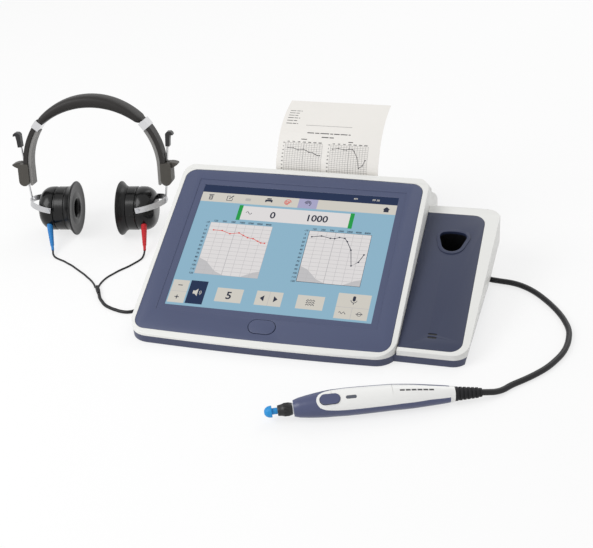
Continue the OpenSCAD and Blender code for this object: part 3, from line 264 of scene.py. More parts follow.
def lit(name, colour, gloss=0.12):
    """A colour of the lit picture under glass, with the fine cell pattern of the display."""
    material, tree, shader, place = new_material(name, Roughness=gloss, Emission_Strength=0.8, Specular_IOR_Level=0.15)
    cells = shader_node(tree, "TexNoise", {"Vector": place, "Scale": 2500, "Detail": 1})[0]
    shade = two_tone(tree, cells, *spread(colour, 0.03))
    tree.links.new(shade, shader.inputs["Emission Color"])
    shader.inputs["Base Color"].default_value = [c * 0.2 for c in colour[:3]] + [1]
    return material


screen_blue = lit("screen_blue", paint(137, 175, 196))
screen_dark = lit("screen_dark", paint(34, 48, 78))
screen_beige = lit("screen_beige", paint(203, 199, 190))
screen_violet = lit("screen_violet", paint(163, 161, 193))
screen_white = lit("screen_white", paint(217, 214, 214))
screen_grid = lit("screen_grid", paint(180, 178, 180))
screen_shade = lit("screen_shade", paint(188, 187, 189))
screen_ink = lit("screen_ink", paint(46, 50, 66))
screen_red = lit("screen_red", paint(212, 84, 76))
screen_green = lit("screen_green", paint(34, 150, 70))
screen_faint = lit("screen_faint", paint(178, 176, 172))

glass = solid_copy("touch_glass", "lit_touch_glass")
finish_piece(glass, "console", screen_blue, ["touch_glass"])

layer = 0.02


def tile(marks, left, low, right, top, level, material, corner=0):
    """A coloured rectangle of a drawing, in mm, with round corners if wanted."""
    bpy.ops.mesh.primitive_plane_add(size=1)
    piece = bpy.context.object
    piece.scale = (right - left, top - low, 1)
    piece.location = ((left + right) / 2, (low + top) / 2, level * layer)
    bpy.ops.object.transform_apply()
    if corner:
        edit(piece)
        bpy.ops.mesh.bevel(offset=corner, segments=5, affect="VERTICES")
        edit_done()
    piece.data.materials.append(material)
    marks.append(piece)


def stroke(marks, points, width, level, material, step=None):
    """A drawn line of this width through points, in mm, cut into steps where it has to bend later."""
    run = []
    for (x0, y0), (x1, y1) in zip(points, points[1:]):
        cuts = max(1, round(math.dist((x0, y0), (x1, y1)) / step)) if step else 1
        run += [(x0 + (x1 - x0) * i / cuts, y0 + (y1 - y0) * i / cuts) for i in range(cuts)]
    run.append(points[-1])
    verts = []
    for i, (x, y) in enumerate(run):
        before, after = run[max(0, i - 1)], run[min(len(run) - 1, i + 1)]
        way = Vector((after[0] - before[0], after[1] - before[1])).normalized() * width / 2
        verts += [(x - way.y, y + way.x, level * layer), (x + way.y, y - way.x, level * layer)]
    mesh = bpy.data.meshes.new("stroke")
    mesh.from_pydata(verts, [], [(2 * i, 2 * i + 1, 2 * i + 3, 2 * i + 2) for i in range(len(run) - 1)])
    piece = bpy.data.objects.new("stroke", mesh)
    bpy.context.scene.collection.objects.link(piece)
    piece.data.materials.append(material)
    marks.append(piece)


def patch(marks, points, level, material):
    """A filled outline of a drawing, in mm."""
    mesh = bpy.data.meshes.new("patch")
    mesh.from_pydata([(x, y, level * layer) for x, y in points], [], [range(len(points))])
    piece = bpy.data.objects.new("patch", mesh)
    bpy.context.scene.collection.objects.link(piece)
    piece.data.materials.append(material)
    marks.append(piece)


def ring(x, y, radius, parts=12, start=0, turn=360):
    """Points on an arc of a drawing."""
    way = [math.radians(start + turn * i / parts) for i in range(parts + 1)]
    return [(x + radius * math.cos(a), y + radius * math.sin(a)) for a in way]


def number(marks, digits, x, y, height, level, material):
    """A plain number of a drawing, centred on its place."""
    bpy.ops.object.text_add()
    piece = bpy.context.object
    piece.data.body = digits
    piece.data.size = height / 0.72
    piece.data.offset = 0.03 * height
    piece.data.resolution_u = 3
    piece.data.align_x = "CENTER"
    bpy.ops.object.convert(target="MESH")
    piece.location = (x, y - height / 2, level * layer)
    bpy.ops.object.transform_apply()
    piece.data.materials.clear()
    piece.data.materials.append(material)
    marks.append(piece)


def chart(marks, left, low, right, top, colours, curve, steps, width, small, step=None, fine=1):
    """A hearing chart: grid with fine lines in each step, shaded speech area, numbers and a measured curve."""
    ground, grid, shade, ink, line = colours
    wide, tall = right - left, top - low
    if ground:
        tile(marks, left, low, right, top, 3, ground)
    if shade:
        patch(marks, [(left, low), (left + 0.46 * wide, low), (left + 0.3 * wide, low + 0.07 * tall),
                      (left + 0.13 * wide, low + 0.24 * tall), (left, low + 0.3 * tall)], 4, shade)
        patch(marks, [(left + 0.72 * wide, low), (right, low), (right, low + 0.13 * tall),
                      (left + 0.9 * wide, low + 0.1 * tall)], 4, shade)
    for i in range(steps[0] * fine + 1):
        x = left + wide * i / steps[0] / fine
        stroke(marks, [(x, low), (x, top)], width * (2 if i == steps[0] * fine // 2 else 1), 5, grid, step)
    for i in range(steps[1] * fine + 1):
        y = low + tall * i / steps[1] / fine
        stroke(marks, [(left, y), (right, y)], width, 5, grid, step)
    for i in range(steps[0]):
        x = left + wide * (i + 0.5) / steps[0]
        number(marks, str(125 * 2 ** i), x, top + 1.1 * small, small, 5, ink)
    for i in range(steps[1] + 1):
        number(marks, str(10 * (steps[1] - i) - 10), left - 1.6 * small, low + tall * i / steps[1], small, 5, ink)
    points = [(left + x * wide, low + y * tall) for x, y in curve]
    stroke(marks, points, 2.2 * width, 7, line, step)
    for x, y in points:
        patch(marks, ring(x, y, 3 * width)[:-1], 8, line)


right_ear = [(0.08, 0.85), (0.22, 0.85), (0.36, 0.8), (0.5, 0.83), (0.58, 0.79), (0.66, 0.75), (0.75, 0.74),
             (0.83, 0.7), (0.89, 0.67), (0.95, 0.67)]
left_ear = [(0.06, 0.88), (0.21, 0.91), (0.36, 0.88), (0.43, 0.88), (0.5, 0.91), (0.59, 0.9), (0.64, 0.84),
            (0.73, 0.68), (0.79, 0.38), (0.89, 0.46), (0.95, 0.61)]

picture = []
tile(picture, 0, 148.5, 211.2, 158.4, 1, screen_dark)
tile(picture, 0, 135.8, 211.2, 148.5, 1, screen_beige)
tile(picture, 107, 135.8, 127.6, 148.5, 2, screen_violet)
# Icons of the upper row: bin, note, printer, spiral and house
tile(picture, 8.6, 138.4, 12.6, 144, 3, screen_ink, corner=0.5)
tile(picture, 9.4, 139.2, 11.8, 143.2, 4, screen_beige)
tile(picture, 7.8, 144.6, 13.4, 145.6, 3, screen_ink)
for x in (10, 11.2):
    stroke(picture, [(x, 139.6), (x, 142.8)], 0.4, 5, screen_ink)
stroke(picture, [(34.6, 142), (34.6, 138.8), (28.6, 138.8), (28.6, 144.8), (32, 144.8)], 0.8, 3, screen_ink)
stroke(picture, [(31, 141.2), (35.4, 145.6)], 1.1, 4, screen_ink)
tile(picture, 49, 140, 55, 143.5, 3, screen_faint, corner=0.8)
tile(picture, 70.8, 140.4, 78.8, 143.8, 3, screen_ink, corner=0.6)
tile(picture, 72.4, 138.6, 77.2, 141.4, 4, screen_beige, corner=0.3)
tile(picture, 72.4, 144.2, 77.2, 145.8, 3, screen_ink, corner=0.3)
for i, radius in enumerate((3.4, 2.1, 0.9)):
    stroke(picture, ring(95.6, 142.3, radius, start=120 * i, turn=280), 0.8, 3, screen_red)
    stroke(picture, ring(117.2, 142.6, radius, start=-60 + 40 * i, turn=230), 0.7, 3, screen_ink)
patch(picture, [(197, 142), (200.8, 145.6), (204.6, 142), (203.4, 142), (203.4, 138.6), (198.2, 138.6), (198.2, 142)],
      3, screen_ink)
for x in (164.6, 166, 167.4):
    tile(picture, x, 152.6, x + 0.9, 154.4, 2, screen_beige)
number(picture, "09 30", 188, 153.5, 2.4, 2, screen_beige)
# Readout with its green ends: a wave, the level and the frequency
tile(picture, 45, 114.5, 169.5, 133, 2, screen_white)
for x in (45, 165.2):
    tile(picture, x, 113.6, x + 4.3, 133.8, 3, screen_green)
wave = [(54 + i * 0.5, 124 + 1.7 * math.sin(i * 0.5)) for i in range(14)]
stroke(picture, wave, 0.6, 3, screen_ink)
number(picture, "0", 83.5, 123.6, 8.6, 3, screen_ink)
number(picture, "1000", 131, 123.6, 8.6, 3, screen_ink)
# Charts of the right and the left ear, and the buttons under them
screen_chart = (screen_white, screen_grid, screen_shade, screen_ink)
chart(picture, 19.8, 41, 87, 108, screen_chart + (screen_red,), right_ear, (7, 13), 0.32, 2.2)
chart(picture, 127, 42, 192, 107, screen_chart + (screen_ink,), left_ear, (7, 13), 0.32, 2.2)
stroke(picture, [(127, 42), (192, 42), (192, 107), (127, 107), (127, 42)], 0.5, 6, screen_ink)
tile(picture, 1.2, 3, 18.5, 31, 2, screen_beige)
stroke(picture, [(1.2, 17), (18.5, 17)], 0.4, 3, screen_grid)
stroke(picture, [(7.4, 24.6), (12.2, 24.6)], 0.9, 3, screen_ink)
stroke(picture, [(7.4, 10), (12.2, 10)], 0.9, 3, screen_ink)
stroke(picture, [(9.8, 7.6), (9.8, 12.4)], 0.9, 3, screen_ink)
tile(picture, 20, 3.3, 38, 31.7, 2, screen_dark)
patch(picture, [(25, 15.6), (27.2, 15.6), (30, 13), (30, 22), (27.2, 19.4), (25, 19.4)], 3, screen_beige)
for radius in (2, 3.4):
    stroke(picture, ring(30.4, 17.5, radius, parts=6, start=-50, turn=100), 0.6, 3, screen_beige)
tile(picture, 49.4, 9, 77, 25.9, 2, screen_beige)
number(picture, "5", 63, 17.6, 9, 3, screen_ink)
tile(picture, 90.8, 9.3, 118, 26.6, 2, screen_beige)
stroke(picture, [(104.4, 9.3), (104.4, 26.6)], 0.4, 3, screen_grid)
for x, way in ((97.6, -1), (111.2, 1)):
    patch(picture, [(x + way * 2.4, 17.9), (x - way * 1.8, 21.6), (x - way * 1.8, 14.2)][::way], 3, screen_ink)
tile(picture, 133, 9.7, 160.5, 26.2, 2, screen_beige)
for y in (15.4, 18, 20.6):
    zigzag = [(142.6 + 1.4 * i, y + (0.9 if i % 2 else -0.9)) for i in range(7)]
    stroke(picture, zigzag, 0.85, 3, screen_ink)
tile(picture, 173, 2.7, 206, 33, 2, screen_beige)
stroke(picture, [(173, 16.5), (206, 16.5)], 0.4, 3, screen_grid)
stroke(picture, [(189.5, 2.7), (189.5, 16.5)], 0.4, 3, screen_grid)
tile(picture, 188, 24.2, 191, 30.4, 3, screen_ink, corner=1.4)
stroke(picture, ring(189.5, 25.4, 3, parts=8, start=180, turn=180), 0.6, 3, screen_ink)
stroke(picture, [(189.5, 22.4), (189.5, 20.4)], 0.8, 3, screen_ink)
stroke(picture, [(177 + i, 9.6 + 1.4 * math.sin(i * 1.6)) for i in range(8)], 0.6, 3, screen_ink)
stroke(picture, [(194 + i, 9.6) for i in range(8)], 0.7, 3, screen_ink)
stroke(picture, ring(197.5, 9.6, 2.2), 0.5, 3, screen_ink)


def print_on(marks, name, thickness):
    """Joins the marks of a drawing into one thin closed print, still flat and in mm."""
    pick(*marks)
    bpy.ops.object.join()
    piece = bpy.context.object
    piece.name = name
    solid = piece.modifiers.new("ink", "SOLIDIFY")
    solid.thickness = thickness
    solid.offset = 0
    bpy.ops.object.modifier_apply(modifier=solid.name)
    return piece


screen = panel @ Matrix.Translation((33.9 * mm, 36.8 * mm, -1.44 * mm)) @ Matrix.Scale(mm, 4)
screen_print = print_on(picture, "screen_picture", 0.01)
screen_print.data.transform(screen)
finish_piece(screen_print, "console")

# Cradle: a white housing beside the main body with its own navy panel, a black well that holds the
# probe, and two dark light guides near the front. A round hollow at the back right lets the cable out.
cradle_tilt = math.radians(16.2)
cradle_front, cradle_foot = 8.67, 13.5


def cradle_height(y):
    """Height in mm of the cradle panel's plane at a place behind the console's front edge."""
    return cradle_foot + (y - cradle_front) * math.tan(cradle_tilt)


def on_cradle_rim(x, y, z):
    """True on the outer edge of the rim round the cradle's panel."""
    far = beyond(x, (y - cradle_front) / math.cos(cradle_tilt), (304.3, 97.3), (30, 90.7))
    return far > 1.5 and abs(z - cradle_height(y)) < 0.3


cradle = solid_copy("cradle_housing", "white_cradle_housing")
round_edges(cradle, 1.8, lambda x, y, z: on_cradle_rim(x, y, z) or (y > 200 and z > 30 and not near_scoop(x, y, z)), 4)
finish_piece(cradle, "console", white_plastic, ["cradle_housing"])
navy_cradle = moulded_plastic("navy_cradle_plastic", paint(44, 51, 75), gloss=0.42, relief=0.08)
cradle_face = solid_copy("cradle_panel", "navy_cradle_panel")
round_edges(cradle_face, 0.4, lambda x, y, z: z > cradle_height(y) - 1.2, 3)
finish_piece(cradle_face, "console", navy_cradle, ["cradle_panel"])
black_plastic = moulded_plastic("black_plastic", paint(26, 26, 28), gloss=0.4)
finish_node("probe_well", black_plastic)
finish_node("cradle_slots", black_plastic)

# Printer: side plates, thermal head, stepper motor with its pinion, a rubber platen carried by the
# lid, the lid's hinge pin and the paper roll on its two hubs.
plated_frame = bright_metal("plated_frame", paint(176, 178, 182), gloss=0.32, stretch=(0.05, 1, 1))
motor_steel = bright_metal("motor_steel", paint(120, 122, 128), gloss=0.3)
platen_rubber = rubber("platen_rubber", paint(40, 40, 42), gloss=0.7)
finish_node("printer_frame", plated_frame)
finish_node("printer_motor", motor_steel)
finish_node("motor_pinion", moulded_plastic("gear_plastic", paint(214, 210, 196), gloss=0.35))
finish_node("platen_roller", platen_rubber)
finish_node("lid_hinge_pin", zinc_steel)


def paper_stock(name, colour):
    """Thermal paper: smooth and pale, with faint fibres and a slight sheen."""
    material, tree, shader, place = new_material(name, Sheen_Weight=0.1)
    fibres = shader_node(tree, "TexNoise", {"Vector": place, "Scale": 1200, "Detail": 5})[0]
    clouds = shader_node(tree, "TexNoise", {"Vector": place, "Scale": 40, "Detail": 2})[0]
    bump = shader_node(tree, "Bump", {"Strength": 0.15, "Distance": 0.03 * mm, "Height": fibres})[0]
    tree.links.new(two_tone(tree, clouds, *spread(colour, 0.015)), shader.inputs["Base Color"])
    tree.links.new(shader_node(tree, "MapRange", {0: fibres, 3: 0.42, 4: 0.6})[0], shader.inputs["Roughness"])
    tree.links.new(bump, shader.inputs["Normal"])
    return material


thermal_paper = paper_stock("thermal_paper", paint(232, 229, 224))
finish_node("paper_roll", thermal_paper)

# Paper strip: thermal paper that stands out of the gap behind the panel and curls to the back, with
# a torn edge. It is printed with small print at its head and the two charts.
paper_wide, paper_left = 112, 105
paper_run = [(214, 57), (214, 68), (213.3, 80), (211.4, 90), (211.6, 96), (214, 102.5), (218.6, 109),
             (225.4, 117.6), (233.6, 125), (243, 130.6), (254.2, 135.1), (266, 137.8), (277, 139.4), (288, 140.3)]


def through(points, cuts):
    """A smooth line through points, with this many cuts in each span."""
    run = [Vector(p) for p in points]
    ends = [2 * run[0] - run[1], *run, 2 * run[-1] - run[-2]]
    smooth = []
    for a, b, c, d in zip(ends, ends[1:], ends[2:], ends[3:]):
        for t in (i / cuts for i in range(cuts)):
            smooth.append(b + t * (c - a) / 2 + t * t * (a - 2.5 * b + 2 * c - d / 2)
                          + t ** 3 * (1.5 * (b - c) + (d - a) / 2))
    return smooth + [run[-1]]


paper_line = through(paper_run, 8)
paper_reach = [0]
for start, end in zip(paper_line, paper_line[1:]):
    paper_reach.append(paper_reach[-1] + (end - start).length)
paper_long = paper_reach[-1]


def on_paper(across, along, lift):
    """Place of a point of the paper, from its left edge, its hidden end and its printed face, in mm."""
    along = min(max(along, 0), paper_long)
    i = max(k for k in range(len(paper_reach) - 1) if paper_reach[k] <= along)
    start, end = paper_line[i], paper_line[i + 1]
    way = (end - start).normalized()
    spot = start + way * (along - paper_reach[i]) + lift * Vector((-way.y, way.x))
    return console @ Vector(((paper_left + across) * mm, spot.x * mm, spot.y * mm))


bpy.ops.mesh.primitive_grid_add(x_subdivisions=paper_wide, y_subdivisions=100, size=1)
paper = bpy.context.object
paper.name = "printed_paper"
for vertex in paper.data.vertices:
    across, along = (vertex.co.x + 0.5) * paper_wide, (vertex.co.y + 0.5) * paper_long
    torn = along > paper_long - 0.1 and round(across) % 2 == 1
    vertex.co = on_paper(across, along - (0.5 if torn else 0), 0)
thickness = paper.modifiers.new("stock", "SOLIDIFY")
thickness.thickness = 0.1 * mm
thickness.offset = 0
pick(paper)
bpy.ops.object.modifier_apply(modifier=thickness.name)
finish_piece(paper, "printer_lid", thermal_paper, ["paper_strip"])


def small_print(marks, left, right, y, height, level, material):
    """A line of small print too fine to read: bars as long as words."""
    x, i = left, 0
    while x < right:
        long = min((4.2, 2.6, 5.4, 1.8, 3.4)[i % 5] * height, right - x)
        stroke(marks, [(x, y), (x + long, y)], 0.62 * height, level, material, 2)
        x, i = x + long + 0.6 * height, i + 1


def paper_ink(name, colour):
    """Thermal print: uneven grey, as the head leaves it."""
    return moulded_plastic(name, colour, gloss=0.6, grain=0.15, relief=0.05, flow=0.25)


print_black = paper_ink("print_black", paint(72, 70, 72))
print_grey = paper_ink("print_grey", paint(150, 147, 146))
print_marks = []
for i, right in enumerate((18, 16.4, 15, 18, 16.6, 17.6)):
    small_print(print_marks, 4.5, right, 111.5 - 4.2 * i, 1.5, 1, print_black)
stroke(print_marks, [(27, 89), (78, 89)], 0.5, 1, print_grey, 2)
small_print(print_marks, 30.4, 78, 79, 1.8, 1, print_black)
small_print(print_marks, 47, 61, 74.4, 1.8, 1, print_black)
small_print(print_marks, 25, 32, 71, 1.5, 1, print_black)
small_print(print_marks, 77, 82, 70.4, 1.5, 1, print_black)
paper_chart = (None, print_grey, None, print_black, print_black)
for edge, ear in ((8.3, right_ear), (58.3, left_ear)):
    curve = [(x, 1 - 0.72 * (1 - y)) for x, y in ear]
    chart(print_marks, edge, 14, edge + 41, 66.3, paper_chart, curve, (7, 13), 0.22, 1.3, 1.5, fine=2)
paper_print = print_on(print_marks, "paper_print", 0.01)
for vertex in paper_print.data.vertices:
    vertex.co = on_paper(vertex.co.x, vertex.co.y, vertex.co.z + 0.06)
finish_piece(paper_print, "printer_lid")

# Inside the case: a green circuit board with its larger parts, the pump that sets the ear's pressure
# with its valve block, and a small loudspeaker. At the back sits the black block of sockets.


def circuit_board(name):
    """Solder mask over fine tracks, with tinned pads."""
    material, tree, shader, place = new_material(name, Roughness=0.35)
    tracks = shader_node(tree, "TexBrick", {"Vector": place, "Color1": paint(26, 84, 52), "Color2": paint(22, 74, 46),
                         "Mortar": paint(60, 128, 84), "Scale": 160, "Mortar Size": 0.03})[0]
    speckle = shader_node(tree, "TexVoronoi", {"Vector": place, "Scale": 240})[0]
    pads = shader_node(tree, "MapRange", {0: speckle, 1: 0.12, 2: 0.16, 3: 1.0, 4: 0.0})[0]
    mixed = shader_node(tree, "Mix", {0: pads, 6: tracks, 7: paint(196, 200, 196)}, data_type="RGBA")[2]
    tree.links.new(mixed, shader.inputs["Base Color"])
    tree.links.new(shader_node(tree, "Bump", {"Strength": 0.4, "Distance": 0.1 * mm, "Height": pads})[0],
                   shader.inputs["Normal"])
    return material


finish_node("main_board", circuit_board("circuit_board"))
finish_node("air_pump", bright_metal("pump_metal", paint(150, 152, 156), gloss=0.35))
finish_node("loudspeaker", black_plastic)
finish_node("rear_sockets", black_plastic)

# Probe shells: the navy lower half and the white upper half of the hand-held probe, clipped together
# along a line that rises at the nose. Both are ABS, smoother than the console's.
probe_navy = moulded_plastic("probe_navy", paint(74, 80, 112), gloss=0.3, relief=0.04)
probe_white = moulded_plastic("probe_white", paint(238, 238, 236), gloss=0.28, relief=0.03, flow=0.01)


def smooth_copy(node, name, body, material, smooth=30):
    """A copy of a turned solid whose facets run smoothly into each other."""
    return finish_piece(solid_copy(node, name), body, material, [node], smooth)


smooth_copy("probe_lower_shell", "navy_probe_shell", "console", probe_navy)
smooth_copy("probe_upper_shell", "white_probe_shell", "console", probe_white)
smooth_copy("probe_button", "navy_probe_button", "probe_button", probe_navy)
smooth_copy("probe_lens", "grey_probe_lens", "console",
            moulded_plastic("lens_plastic", paint(84, 88, 98), gloss=0.15))
finish_node("probe_core", moulded_plastic("core_plastic", paint(150, 150, 154), gloss=0.45))
# Six dark bars in a row along the back of the white shell, without letters: painted shade that stands for six slots,
# laid on the surface as dark marks instead of being cut
probe_back = console @ Matrix.Translation((244 * mm, -73.4 * mm, 0)) @ Matrix.Rotation(math.radians(20.3), 4, "Z") \
    @ Matrix.Translation((42 * mm, 0, 12.3 * mm)) @ Matrix.Rotation(math.radians(3.5), 4, "Y")
shell_places = (42, 53.5, 62, 69.7, 78, 85.9)
shell_radii = (11.85, 11.4, 10.9, 10.2, 9.4, 8.6)
bar_start, bar_long, bar_pitch, bar_wide = 48, 4.4, 5.3, 1.6
# Painted shade: the dark grey of these bars stands for the shade inside the slots
slot_shade_paint = moulded_plastic("slot_shade_paint", paint(66, 64, 66))
bars = []
for i in range(6):
    left = bar_start + bar_pitch * i
    stroke(bars, [(left, 0), (left + bar_long, 0)], bar_wide, 0, slot_shade_paint, 1.1)
probe_slot_shades = print_on(bars, "probe_slot_shades", 0.04)
for vertex in probe_slot_shades.data.vertices:
    along, across, lift = vertex.co
    i = max(k for k in range(5) if shell_places[k] <= along)
    part = (along - shell_places[i]) / (shell_places[i + 1] - shell_places[i])
    radius = shell_radii[i] + part * (shell_radii[i + 1] - shell_radii[i]) + 0.04
    turn = math.radians(22) + across / radius
    vertex.co = probe_back @ Vector(((along - 42) * mm, -(radius + lift) * math.sin(turn) * mm,
                                     (radius + lift) * math.cos(turn) * mm))
finish_piece(probe_slot_shades, "console")

# Probe nose: a knurled black nut clamps the steel sound tube, and a soft blue mushroom tip is pushed
# on the tube. At the other end a ribbed rubber sleeve guards the cable.
smooth_copy("probe_nose", "black_probe_nose", "probe_nose", black_plastic)
finish_node("probe_tube", zinc_steel)
tip_blue = rubber("tip_blue", paint(44, 142, 208), gloss=0.4, grain=0.2, relief=0.1)
smooth_copy("ear_tip", "blue_ear_tip", "probe_nose", tip_blue)
smooth_copy("probe_strain_relief", "ribbed_probe_relief", "console", black_rubber)

# Probe cable: 5.8 mm of soft black PVC. It leaves the sleeve, lies in a wide loop round the right of
# the console, and its spare length is wound in a round coil behind, tied, with its plug beside it.
probe_route = [(359.6, -30.6, 7.3), (365, -28, 6.3), (371, -24, 4.6), (377, -18, 3.2), (384, -9, 2.9), (394, 1, 2.9),
               (404, 12, 2.9), (413, 24, 2.9), (420, 37, 2.9), (425, 49, 2.9), (428, 62, 2.9), (429, 76, 2.9),
               (428, 89, 2.9), (424, 102, 2.9), (418, 115, 2.9), (410, 128, 2.9), (401, 140, 2.9), (390, 152, 2.9),
               (378, 161, 2.9), (366, 166, 2.9), (352, 168, 2.9), (341, 170, 2.9), (332, 176, 2.9), (326, 186, 2.9),
               (324, 198, 2.9), (324, 212, 2.9), (322, 228, 2.9), (317, 243, 2.9), (309, 257, 2.9), (298, 269, 2.9),
               (284, 278, 2.9), (268, 282, 2.9), (250, 283, 3), (232, 283, 3.4), (217.9, 283, 3.7)]
probe_tail = [(206.1, 283, 10.1), (198, 283, 9.6), (191, 283, 8.2), (184, 283, 6.9), (178, 283, 6.2)]


def coil(x, y, way, turns, thick, gap, outer):
    """Points of a round coil in two layers: in on the table, up in half a turn, and out again, in mm."""
    points = []
    pitch, steps = thick + gap, round(24 * turns)
    for i in range(steps + 1):
        done = turns * i / steps
        climb = min(1, max(0, (done - turns / 2 + 0.25) / 0.5))
        radius = outer - pitch * min(done, turns - done)
        angle = math.radians(-90 + way * 360 * done)
        height = 0.8 + thick / 2 + pitch * climb * climb * (3 - 2 * climb)
        points.append((x + radius * math.cos(angle), y + radius * math.sin(angle), height))
    first, last = points[0], points[-1]
    return [(first[0] - way * thick, *first[1:]), *points, (last[0] + way * thick, *last[1:])]


def cable(name, points, thick, body, material, replaced):
    """A cable on one smooth line through points given in mm from the console's corner."""
    line = bpy.data.curves.new(name, "CURVE")
    line.dimensions = "3D"
    line.bevel_depth = thick / 2 * mm
    line.bevel_resolution = 4
    line.resolution_u = 4
    line.use_fill_caps = True
    spline = line.splines.new("BEZIER")
    spline.bezier_points.add(len(points) - 1)
    for knot, point in zip(spline.bezier_points, points):
        knot.co = console @ (Vector(point) * mm)
        knot.handle_left_type = "AUTO"
        knot.handle_right_type = "AUTO"
    piece = bpy.data.objects.new(name, line)
    bpy.context.scene.collection.objects.link(piece)
    return finish_piece(piece, body, material, replaced)


cable_black = rubber("cable_black", paint(34, 34, 36), gloss=0.42, grain=0.3, relief=0.15)
probe_points = probe_route[:-1] + coil(212, 321.5, -1, 5, 5.8, 0.6, 38.5) + probe_tail[1:]
probe_cable = cable("probe_cable_line", probe_points, 5.8, "console", cable_black, ["probe_cable", "probe_cable_coil"])
probe_plug = smooth_copy("probe_plug", "black_probe_plug", "console", black_plastic)


def coil_tie(name, right):
    """The tie of one coil. The two ties share a node and lie to the left and right of this plane."""
    tie = solid_copy("cable_ties", name)
    edit(tie)
    bpy.ops.mesh.bisect(plane_co=console @ Vector((0.12, 0, 0)), plane_no=(1, 0, 0), clear_inner=right,
                        clear_outer=not right)
    edit_done()
    round_edges(tie, 0.3, lambda x, y, z: True, segments=2)
    return finish_piece(tie, "console", cable_black, ["cable_ties"])


probe_tie = coil_tie("probe_coil_tie", True)

# Headband: a spring steel strip in a dark vinyl coat, with a padded middle, two chromed sleeves, grey
# foam liners along its arms, and brown nylon slider blocks at its ends that grip the hanger wires.
headset = console @ Matrix.Translation((-109.8 * mm, 207.4 * mm, 30 * mm)) \
    @ Matrix.Rotation(math.radians(8.76), 4, "Z") @ Matrix.Rotation(math.radians(-12), 4, "X")
vinyl_coat = moulded_plastic("vinyl_coat", paint(46, 44, 43), gloss=0.5, grain=0.5, relief=0.2, Specular_IOR_Level=0.3)
chrome = bright_metal("chrome", paint(214, 214, 216), gloss=0.14)
finish_node("band_spring", vinyl_coat)
finish_node("band_sleeves", chrome)
finish_node("arm_liners", moulded_plastic("grey_liner", paint(128, 127, 125), gloss=0.6, relief=0.2))
finish_node("slider_blocks", moulded_plastic("brown_nylon", paint(66, 63, 58), gloss=0.5))
finish_node("hanger_wires", chrome)
finish_node("wire_clips", black_plastic)

# Head pad: foam in black leatherette, wrapped round the spring and sewn shut, thickest in the middle.
band_centre = 49.8
band_radius = 82
pad_half = 48.3


def leatherette(name, colour):
    """Coated cloth: pebbled grain a millimetre wide, with softly uneven gloss."""
    material, tree, shader, place = new_material(name, Specular_IOR_Level=0.3)
    pebbles = shader_node(tree, "TexVoronoi", {"Vector": place, "Scale": 1100}, feature="SMOOTH_F1")[0]
    clouds = shader_node(tree, "TexNoise", {"Vector": place, "Scale": 60, "Detail": 3})[0]
    bump = shader_node(tree, "Bump", {"Strength": 0.35, "Distance": 0.15 * mm, "Height": pebbles})[0]
    tree.links.new(two_tone(tree, clouds, *spread(colour, 0.12)), shader.inputs["Base Color"])
    tree.links.new(shader_node(tree, "MapRange", {0: pebbles, 3: 0.42, 4: 0.58})[0], shader.inputs["Roughness"])
    tree.links.new(bump, shader.inputs["Normal"])
    return material


def pad_section(part):
    """Middle radius, half thickness and half width of the pad at a place from -1 to 1 along it, in mm."""
    under = 14.3 - 6 * part * part
    closing = (1 - max(0, (abs(part) - 0.93) / 0.07) ** 2.5) ** 0.5
    return band_radius - under / 2, under / 2 * max(0.5, closing), 12.6 * max(0.8, closing)


stations, around = 60, 28
verts = []
for i in range(stations + 1):
    part = -1 + 2 * i / stations
    middle, thin, wide = pad_section(part)
    angle = math.radians(pad_half * part)
    for k in range(around):
        turn = 2 * math.pi * k / around
        out = middle + thin * math.copysign(abs(math.sin(turn)) ** 0.75, math.sin(turn))
        side = wide * math.copysign(abs(math.cos(turn)) ** 0.6, math.cos(turn))
        verts.append(Vector((out * math.sin(angle), side, band_centre + out * math.cos(angle))) * mm)
faces = [(i * around + k, i * around + (k + 1) % around, (i + 1) * around + (k + 1) % around, (i + 1) * around + k)
         for i in range(stations) for k in range(around)]
faces += [tuple(range(around)), tuple(range(stations * around, (stations + 1) * around))]
mesh = bpy.data.meshes.new("head_pad")
mesh.from_pydata(verts, [], faces)
pad = bpy.data.objects.new("head_pad", mesh)
bpy.context.scene.collection.objects.link(pad)
pad.data.transform(headset)
edit(pad)
bpy.ops.mesh.normals_make_consistent(inside=False)
edit_done()
pad_black = leatherette("pad_leatherette_black", paint(42, 40, 39))
finish_piece(pad, "headband", pad_black, ["band_pad"], 60)

# Hangers: each cup hangs in a half ring of brushed steel strip on two rivets. The strip slopes up to
# the bent wire that holds it.
brushed_steel = bright_metal("brushed_steel", paint(196, 196, 198), gloss=0.28, stretch=(1, 0.04, 1), relief=0.25)
yokes = solid_copy("fork_yokes", "brushed_yokes")
finish_piece(yokes, "console", brushed_steel, ["fork_yokes"])
finish_node("yoke_pins", zinc_steel)

# Cups: glossy black shells round the receivers, a soft rubber cushion with a wide flange on each, and
# a ribbed sleeve for the lead, blue on the left cup and red on the right.
black_gloss = moulded_plastic("black_gloss", paint(15, 15, 16), gloss=0.22, relief=0.02, Specular_IOR_Level=0.35)
cushion_rubber = rubber("cushion_rubber", paint(20, 20, 21), gloss=0.34, grain=0.5, relief=0.1)
relief_blue = rubber("relief_blue", paint(52, 128, 196), gloss=0.45, relief=0.1)
relief_red = rubber("relief_red", paint(190, 44, 50), gloss=0.45, relief=0.1)
receiver_metal = bright_metal("receiver_metal", paint(120, 120, 124), gloss=0.35)


